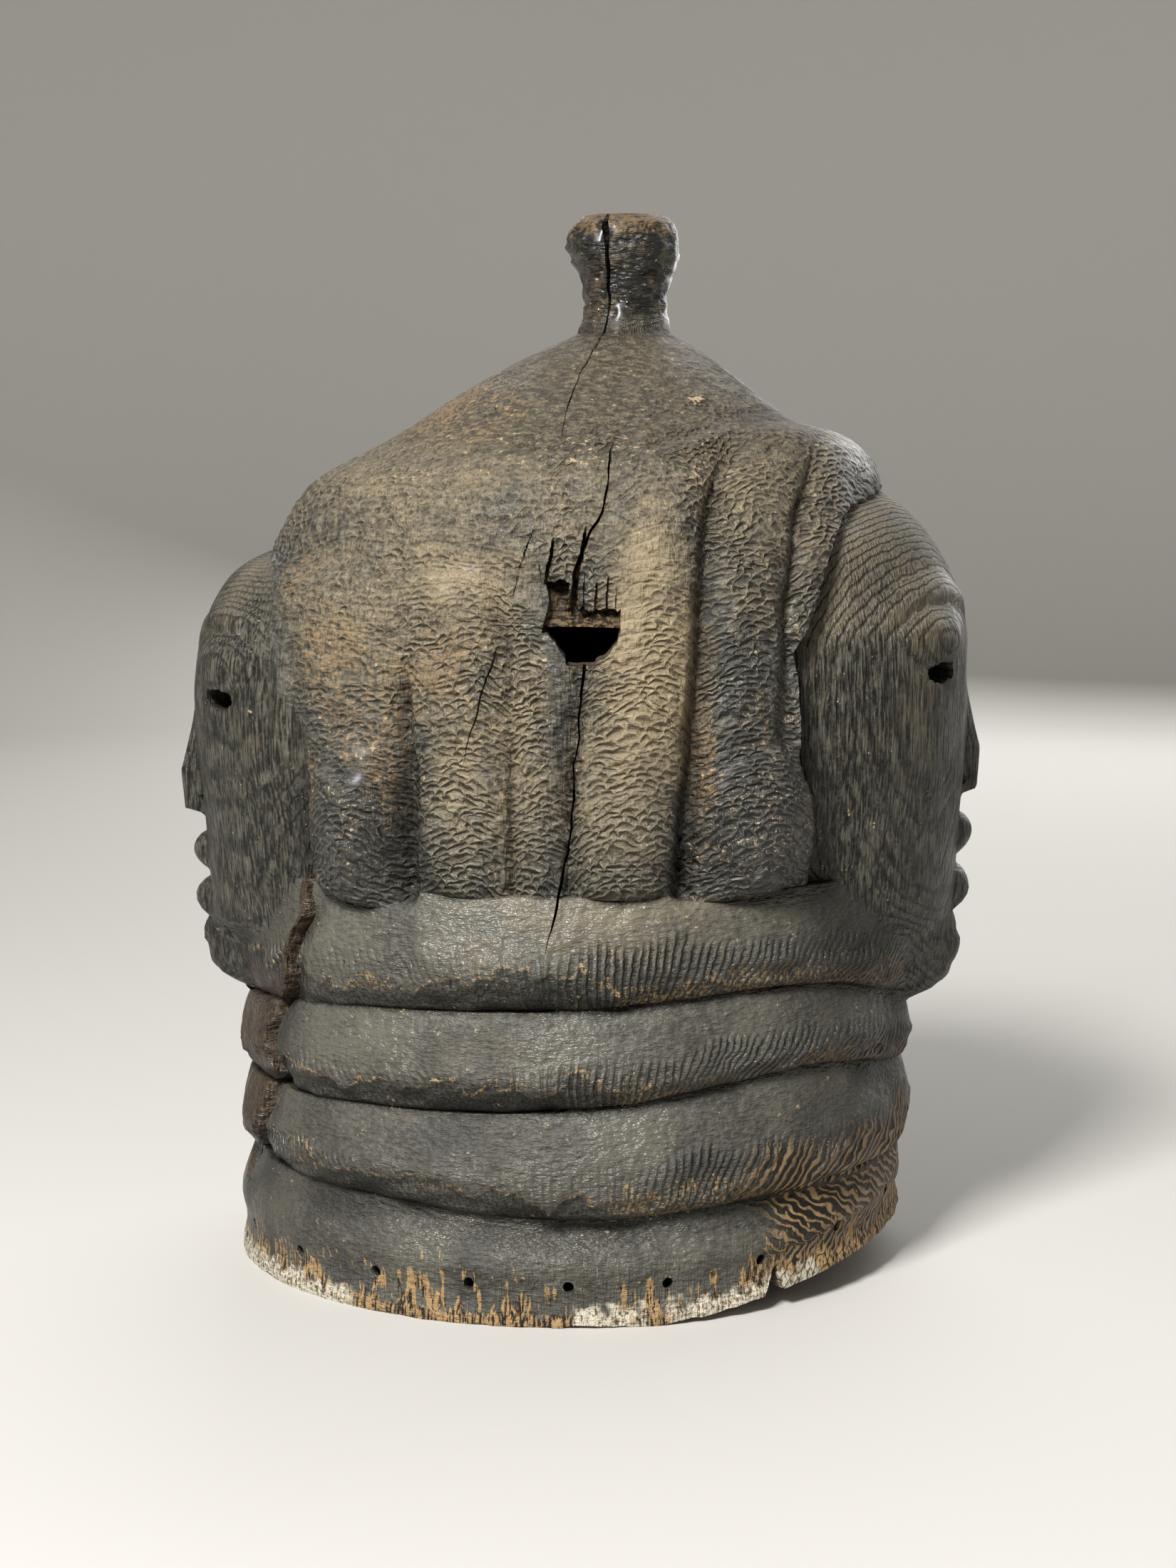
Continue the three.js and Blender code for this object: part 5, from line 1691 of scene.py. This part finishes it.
def with_broken_wood(f, w, base):
    """Wood broken open, brown where it is fresh, dark in old cracks, darker deep down as painted shade, the
    bared slab and the hollow.
    """
    torn = f.mix(f.smooth(w.crinkle * 0.75 + w.fibre * 0.25, 0.44, 0.53), "umber", "raw")
    # painted shade: broken wood darkens to umber deeper down; old cracks away from the hole and the split
    # are sooty dark, which also paints the shade inside them
    torn = f.mix(f.smooth(w.depth, 3, 9), torn, "umber")
    base = f.mix(w.broken * w.outside, base, f.mix(w.fresh, "soot", torn))
    slab_colour = f.mix(f.smooth(w.fibre * 0.7 + w.fine * 0.3, 0.38, 0.62), "umber", "slab")
    slab_share = f.smooth(w.slab, 0.25, 0.7) * w.outside * (1 - f.smooth(w.depth, 3, 6))
    base = f.mix(slab_share, base, slab_colour)
    return f.mix(w.inside, base, f.mix(f.smooth(w.fibre, 0.3, 0.7), "umber", "raw_inside"))


def wood_colour(f, w):
    """The parts' colours, painted shade over them, partly sooty, and what has worn, chipped or broken
    through it.
    """
    base = f.mix(w.hair, roll_colour(f, w), hair_colour(f, w))
    base = f.mix(w.face, base, face_colour(f, w))
    base = f.mix(w.knob, base, knob_colour(f, w))
    # painted shade: the shade measure darkens hollows, grooves, undersides and the mask's ends, a little
    # less in the corner's grain
    keep_light = 1 - f.smooth(w.corner, 0.2, 0.6) * 0.35
    base = f.mix(w.soot * keep_light * (0.74 + (w.crinkle - 0.5) * 0.8), base, "soot")
    base = with_worn_foot(f, w, base)
    base = with_chips(f, w, base)
    return with_broken_wood(f, w, base)


def wood_roughness(f, w):
    """Polished by handling in patches, glossier on the knob and the hair's thick coat, and dull where the
    wood is dusty, bare or broken."""
    dull = f.smooth(w.dust, 0.3, 0.9) * w.hair
    polish = f.smooth(w.sheen + (w.lumps - 0.5) * 0.5, 0.2, 0.8) * (1 - dull * 0.7)
    glossy = polish * w.outside * (0.24 + w.neck * 0.06) + w.tar * 0.2 + w.knob * (1 - w.knob_top) * 0.18
    dry_crown = f.smooth(w.z, 300, 320) * (1 - w.knob)
    matt = dull * 0.08 + dry_crown * 0.12 + f.most(w.bare_edge, w.broken) * 0.25
    return f.least(0.58 - glossy + matt + w.corner * 0.1 + w.inside * 0.2, 0.95)


def carved_wood(colours, measures):
    """Blackened old wood: charcoal, dust and rust brown where the measures say, the hair's growth rings cut
    into scallops, the faces' fine upright grain, the rolls' combed lines, bare tan wood at the rim, at the
    corner's zigzag grain and in breaks, and the same patterns as relief in millimetres through one Bump."""
    f = Finish("carved_wood", colours)
    w = wood_signals(f, measures)
    add_gouge_cuts(f, w)
    add_lines(f, w)
    add_corner_grain(f, w)
    add_worn_parts(f, w)
    relief = {"Strength": 1.0, "Distance": 0.001, "Height": wood_relief(f, w)}
    bump = f.node("ShaderNodeBump", None, relief)
    return f.shade({
        "Base Color": wood_colour(f, w),
        "Roughness": wood_roughness(f, w),
        "Normal": f.out(bump, "Normal"),
        "Coat Weight": w.knob * (1 - w.knob_top) * 0.55 + w.tar * 0.35,
        "Coat Roughness": 0.3,
        "Specular IOR Level": 0.28,
    })


def plain_finish(name, colour, roughness):
    """A matt finish for the stage, faintly mottled."""
    f = Finish(name, {"light": colour, "dark": tuple(v * 0.97 for v in colour[:3]) + (1.0,)})
    place = f.out(f.node("ShaderNodeTexCoord"), "Object")
    mottle = f.soft_noise(place, 0.6, 2.0)
    return f.shade({"Base Color": f.mix(mottle, "light", "dark"), "Roughness": roughness})


# The stage. Places are in metres

LIGHT_AIM = Vector((0.0, 0.0, 0.18))
LIGHTS = {
    "key_light": ((-0.5, -1.08, 1.34), 0.4),
    "fill_light": ((1.5, -0.9, 0.9), 1.4),
    "back_light": ((0.5, 1.5, 1.05), 2.0),
}
SKY_COLOUR = (0.93, 0.95, 1.0, 1.0)
CAMERA = {"place": (0.003, -1.0, 0.305), "tilt": 7.2, "lens": 59.9, "sensor": 36}  # degrees, mm and mm
BACKDROP = {"rings": (50, 400, 900, 1500), "flat": 1900, "bend": 700, "top": 2600, "below": 0.05}  # mm


def backdrop_mesh():
    """The floor as a wide dish: a flat disc whose edge turns up as a quarter circle into a wall, a profile
    turned about the upright axis."""
    columns = 96
    bend = np.radians(np.linspace(0, 90, 17))
    curved_r = BACKDROP["flat"] + BACKDROP["bend"] * np.sin(bend)
    curved_z = BACKDROP["bend"] * (1 - np.cos(bend))
    wall = BACKDROP["flat"] + BACKDROP["bend"]
    r = np.concatenate([BACKDROP["rings"], curved_r, [wall, wall]])
    flat_z = np.zeros(len(BACKDROP["rings"]))
    z = np.concatenate([flat_z, curved_z, [2 * BACKDROP["bend"], BACKDROP["top"]]])
    z = np.broadcast_to(z - BACKDROP["below"], (columns, len(z)))
    grid = np.stack(polar(np.linspace(0, 360, columns, endpoint=False)[:, None], z, r), axis=-1)
    points = np.concatenate([grid.reshape(-1, 3), [[0, 0, -BACKDROP["below"]]]])
    quads = ring_quads(columns, len(r))[:, [0, 3, 2, 1]]
    middle = fan(columns, len(r), 0, columns * len(r))[:, [1, 0, 2]]
    mesh = mesh_from("floor", points, [quads, middle])
    mesh.polygons.foreach_set("use_smooth", np.ones(len(mesh.polygons), bool))
    return mesh


# The add-on

PIECE = "carved_mask"


def share_property(name, description, low, high):
    """A number that is a share of the real one."""
    return bpy.props.FloatProperty(
        name=name, description=description, default=1.0, min=low, max=high, subtype="FACTOR"
    )


def colour_property(name, description, *rgb):
    """A colour, given as 0 to 255 on a screen."""
    return bpy.props.FloatVectorProperty(
        name=name, description=description, default=paint(*rgb), size=4, min=0.0, max=1.0, subtype="COLOR"
    )


def power_property(name, default):
    """The power of a light."""
    return bpy.props.FloatProperty(
        name=name, description=f"Power of the {name.lower()}", default=default, min=0.0, unit="POWER"
    )


class MaskShape(bpy.types.PropertyGroup):
    columns: bpy.props.IntProperty(
        name="Columns", description="Columns of the mesh round the mask", default=300, min=64, max=300
    )
    relief: share_property("Relief", "How strong the worn relief is", 0.0, 1.5)
    crack_width: share_property("Crack width", "How wide the cracks are", 0.2, 2.0)
    crease_angle: bpy.props.FloatProperty(
        name="Crease angle",
        description="Edges sharper than this angle are shaded as hard edges",
        default=math.radians(50),
        min=0.0,
        max=math.pi,
        subtype="ANGLE",
    )


class MaskColours(bpy.types.PropertyGroup):
    charcoal: colour_property("Charcoal", "The blackened wood", 50, 49, 45)
    # painted shade in hollows, grooves and under the rolls and cuts, and the sooty black of fibre, faces,
    # knob and old cracks
    soot: colour_property("Soot", "The darkest recesses", 19, 18, 15)
    ash: colour_property("Ash", "Raised wood worn grey", 92, 90, 81)
    face: colour_property("Face", "Raised grain of the faces", 72, 69, 59)
    earth: colour_property("Earth", "The darker of the two browns of the dust", 64, 57, 44)
    dust: colour_property("Dust", "Dust in the hair and on the rolls", 124, 112, 90)
    grey_dust: colour_property("Grey dust", "Dust on the lower ends of the lobes", 122, 118, 104)
    seam: colour_property("Seam", "Dust along the lips of the hair's cuts", 146, 130, 102)
    # also the colour of the painted highlight on lobe D's crest
    tan: colour_property("Tan", "Bare wood at the rim and the corner", 152, 124, 86)
    rust: colour_property("Rust", "Wood worn to rust brown", 122, 98, 68)
    pale: colour_property("Pale residue", "The whitish crust at the rim", 196, 190, 172)
    chip: colour_property("Chip", "Small chips and flecks", 164, 142, 112)
    raw: colour_property("Raw wood", "Wood broken open", 106, 86, 60)
    slab: colour_property("Slab", "The bared face of the slab beside the long split", 70, 57, 43)
    # also the painted shade deep in breaks
    umber: colour_property("Umber", "Deep in cracks and the hollow", 34, 27, 19)
    raw_inside: colour_property("Hollow", "Wood inside the hollow", 92, 72, 50)


class MaskStudio(bpy.types.PropertyGroup):
    floor: colour_property("Floor", "The floor and the backdrop", 184, 181, 175)
    key_light: power_property("Key light", 56.0)
    fill_light: power_property("Fill light", 1.1)
    back_light: power_property("Back light", 28.0)
    sky: bpy.props.FloatProperty(
        name="Sky", description="Strength of the even light from all round", default=0.18, min=0.0, max=2.0
    )


class HELMETMASK_OT_carve(bpy.types.Operator):
    """Carve the block: one closed skin, inside and out, with its worn relief"""

    bl_idname = "helmet_mask.carve"
    bl_label = "Carve the block"

    def execute(self, context):
        shape = context.scene.mask_shape
        points, faces = closed_skin(*block_grid(shape.columns, shape.relief))
        piece = bpy.data.objects.new(PIECE, mesh_from(PIECE, points, faces))
        context.scene.collection.objects.link(piece)
        return {"FINISHED"}


class HELMETMASK_OT_open(bpy.types.Operator):
    """Open the eyes, the nostrils, the lacing holes, the notch and the hole in the side"""

    bl_idname = "helmet_mask.open"
    bl_label = "Open the holes"

    def execute(self, context):
        piece = bpy.data.objects[PIECE]
        cut(piece, [*rim_cutters(), *face_cutters(), *hole_cutter()], "holes")
        cut(piece, recess_cutter(), "recess")
        return {"FINISHED"}


class HELMETMASK_OT_crack(bpy.types.Operator):
    """Split the wood along its cracks"""

    bl_idname = "helmet_mask.crack"
    bl_label = "Split the cracks"

    def execute(self, context):
        piece = bpy.data.objects[PIECE]
        width = context.scene.mask_shape.crack_width
        blades = []
        for i, crack in enumerate([*CRACKS.values(), SPLIT]):
            half = [h * width for h in crack["half"]]
            blades.append(blade(crack["path"], half, crack["depth"], 90 + 3 * i))
        cut(piece, blades, "cracks")
        return {"FINISHED"}


class HELMETMASK_OT_finish(bpy.types.Operator):
    """Measure the surface and give it its blackened, worn finish"""

    bl_idname = "helmet_mask.finish"
    bl_label = "Finish the wood"

    def execute(self, context):
        piece = bpy.data.objects[PIECE]
        shape = context.scene.mask_shape
        mesh = piece.data
        places = np.empty(len(mesh.vertices) * 3, np.float32)
        mesh.vertices.foreach_get("co", places)
        points = places.reshape(-1, 3).astype(float) * 1000
        measures = surface_measures(points, shape.relief)
        keep_measures(mesh, measures)
        mesh.polygons.foreach_set("use_smooth", np.ones(len(mesh.polygons), bool))
        mesh.set_sharp_from_angle(angle=shape.crease_angle)
        colours = context.scene.mask_colours
        named = {key: tuple(getattr(colours, key)) for key in MaskColours.__annotations__}
        mesh.materials.clear()
        mesh.materials.append(carved_wood(named, measures))
        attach(piece, "root")
        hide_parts("mask")
        return {"FINISHED"}


class HELMETMASK_OT_stage(bpy.types.Operator):
    """Set up the pale floor, the soft lights and the camera"""

    bl_idname = "helmet_mask.stage"
    bl_label = "Set the stage"

    def execute(self, context):
        scene = context.scene
        studio = scene.mask_studio
        floor = bpy.data.objects.new("floor", backdrop_mesh())
        scene.collection.objects.link(floor)
        floor.data.materials.append(plain_finish("floor", tuple(studio.floor), 0.8))
        for name, (place, size) in LIGHTS.items():
            data = bpy.data.lights.new(name, "AREA")
            data.shape = "SQUARE"
            data.size = size
            data.energy = getattr(studio, name)
            light = bpy.data.objects.new(name, data)
            light.location = place
            light.rotation_euler = (LIGHT_AIM - Vector(place)).to_track_quat("-Z", "Y").to_euler()
            scene.collection.objects.link(light)
        world = bpy.data.worlds.new("studio")
        world.use_nodes = True
        sky = world.node_tree.nodes["Background"]
        sky.inputs["Color"].default_value = SKY_COLOUR
        sky.inputs["Strength"].default_value = studio.sky
        scene.world = world
        data = bpy.data.cameras.new("camera")
        data.sensor_fit = "VERTICAL"
        data.sensor_height = CAMERA["sensor"]
        data.lens = CAMERA["lens"]
        camera = bpy.data.objects.new("camera", data)
        camera.location = CAMERA["place"]
        camera.rotation_euler = (math.radians(90 - CAMERA["tilt"]), 0, 0)
        scene.collection.objects.link(camera)
        scene.camera = camera
        scene.view_settings.view_transform = "Standard"
        return {"FINISHED"}


OPERATORS = (
    HELMETMASK_OT_carve,
    HELMETMASK_OT_open,
    HELMETMASK_OT_crack,
    HELMETMASK_OT_finish,
    HELMETMASK_OT_stage,
)


class HELMETMASK_PT_panel(bpy.types.Panel):
    """The sizes and colours that a user would change, and the steps that use them"""

    bl_idname = "HELMETMASK_PT_panel"
    bl_label = "Helmet mask"
    bl_space_type = "VIEW_3D"
    bl_region_type = "UI"
    bl_category = "Helmet mask"

    def draw(self, context):
        for group in ("mask_shape", "mask_colours", "mask_studio"):
            box = self.layout.box()
            settings = getattr(context.scene, group)
            for key in type(settings).__annotations__:
                box.prop(settings, key)
        for operator in OPERATORS:
            self.layout.operator(operator.bl_idname)


CLASSES = (MaskShape, MaskColours, MaskStudio, *OPERATORS, HELMETMASK_PT_panel)


def register():
    for cls in CLASSES:
        bpy.utils.register_class(cls)
    bpy.types.Scene.mask_shape = bpy.props.PointerProperty(type=MaskShape)
    bpy.types.Scene.mask_colours = bpy.props.PointerProperty(type=MaskColours)
    bpy.types.Scene.mask_studio = bpy.props.PointerProperty(type=MaskStudio)


def unregister():
    for name in ("mask_shape", "mask_colours", "mask_studio"):
        delattr(bpy.types.Scene, name)
    for cls in reversed(CLASSES):
        bpy.utils.unregister_class(cls)


def main():
    """Registers the add-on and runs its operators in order."""
    register()
    bpy.ops.helmet_mask.carve()
    bpy.ops.helmet_mask.open()
    bpy.ops.helmet_mask.crack()
    bpy.ops.helmet_mask.finish()
    bpy.ops.helmet_mask.stage()


if __name__ == "__main__":
    main()
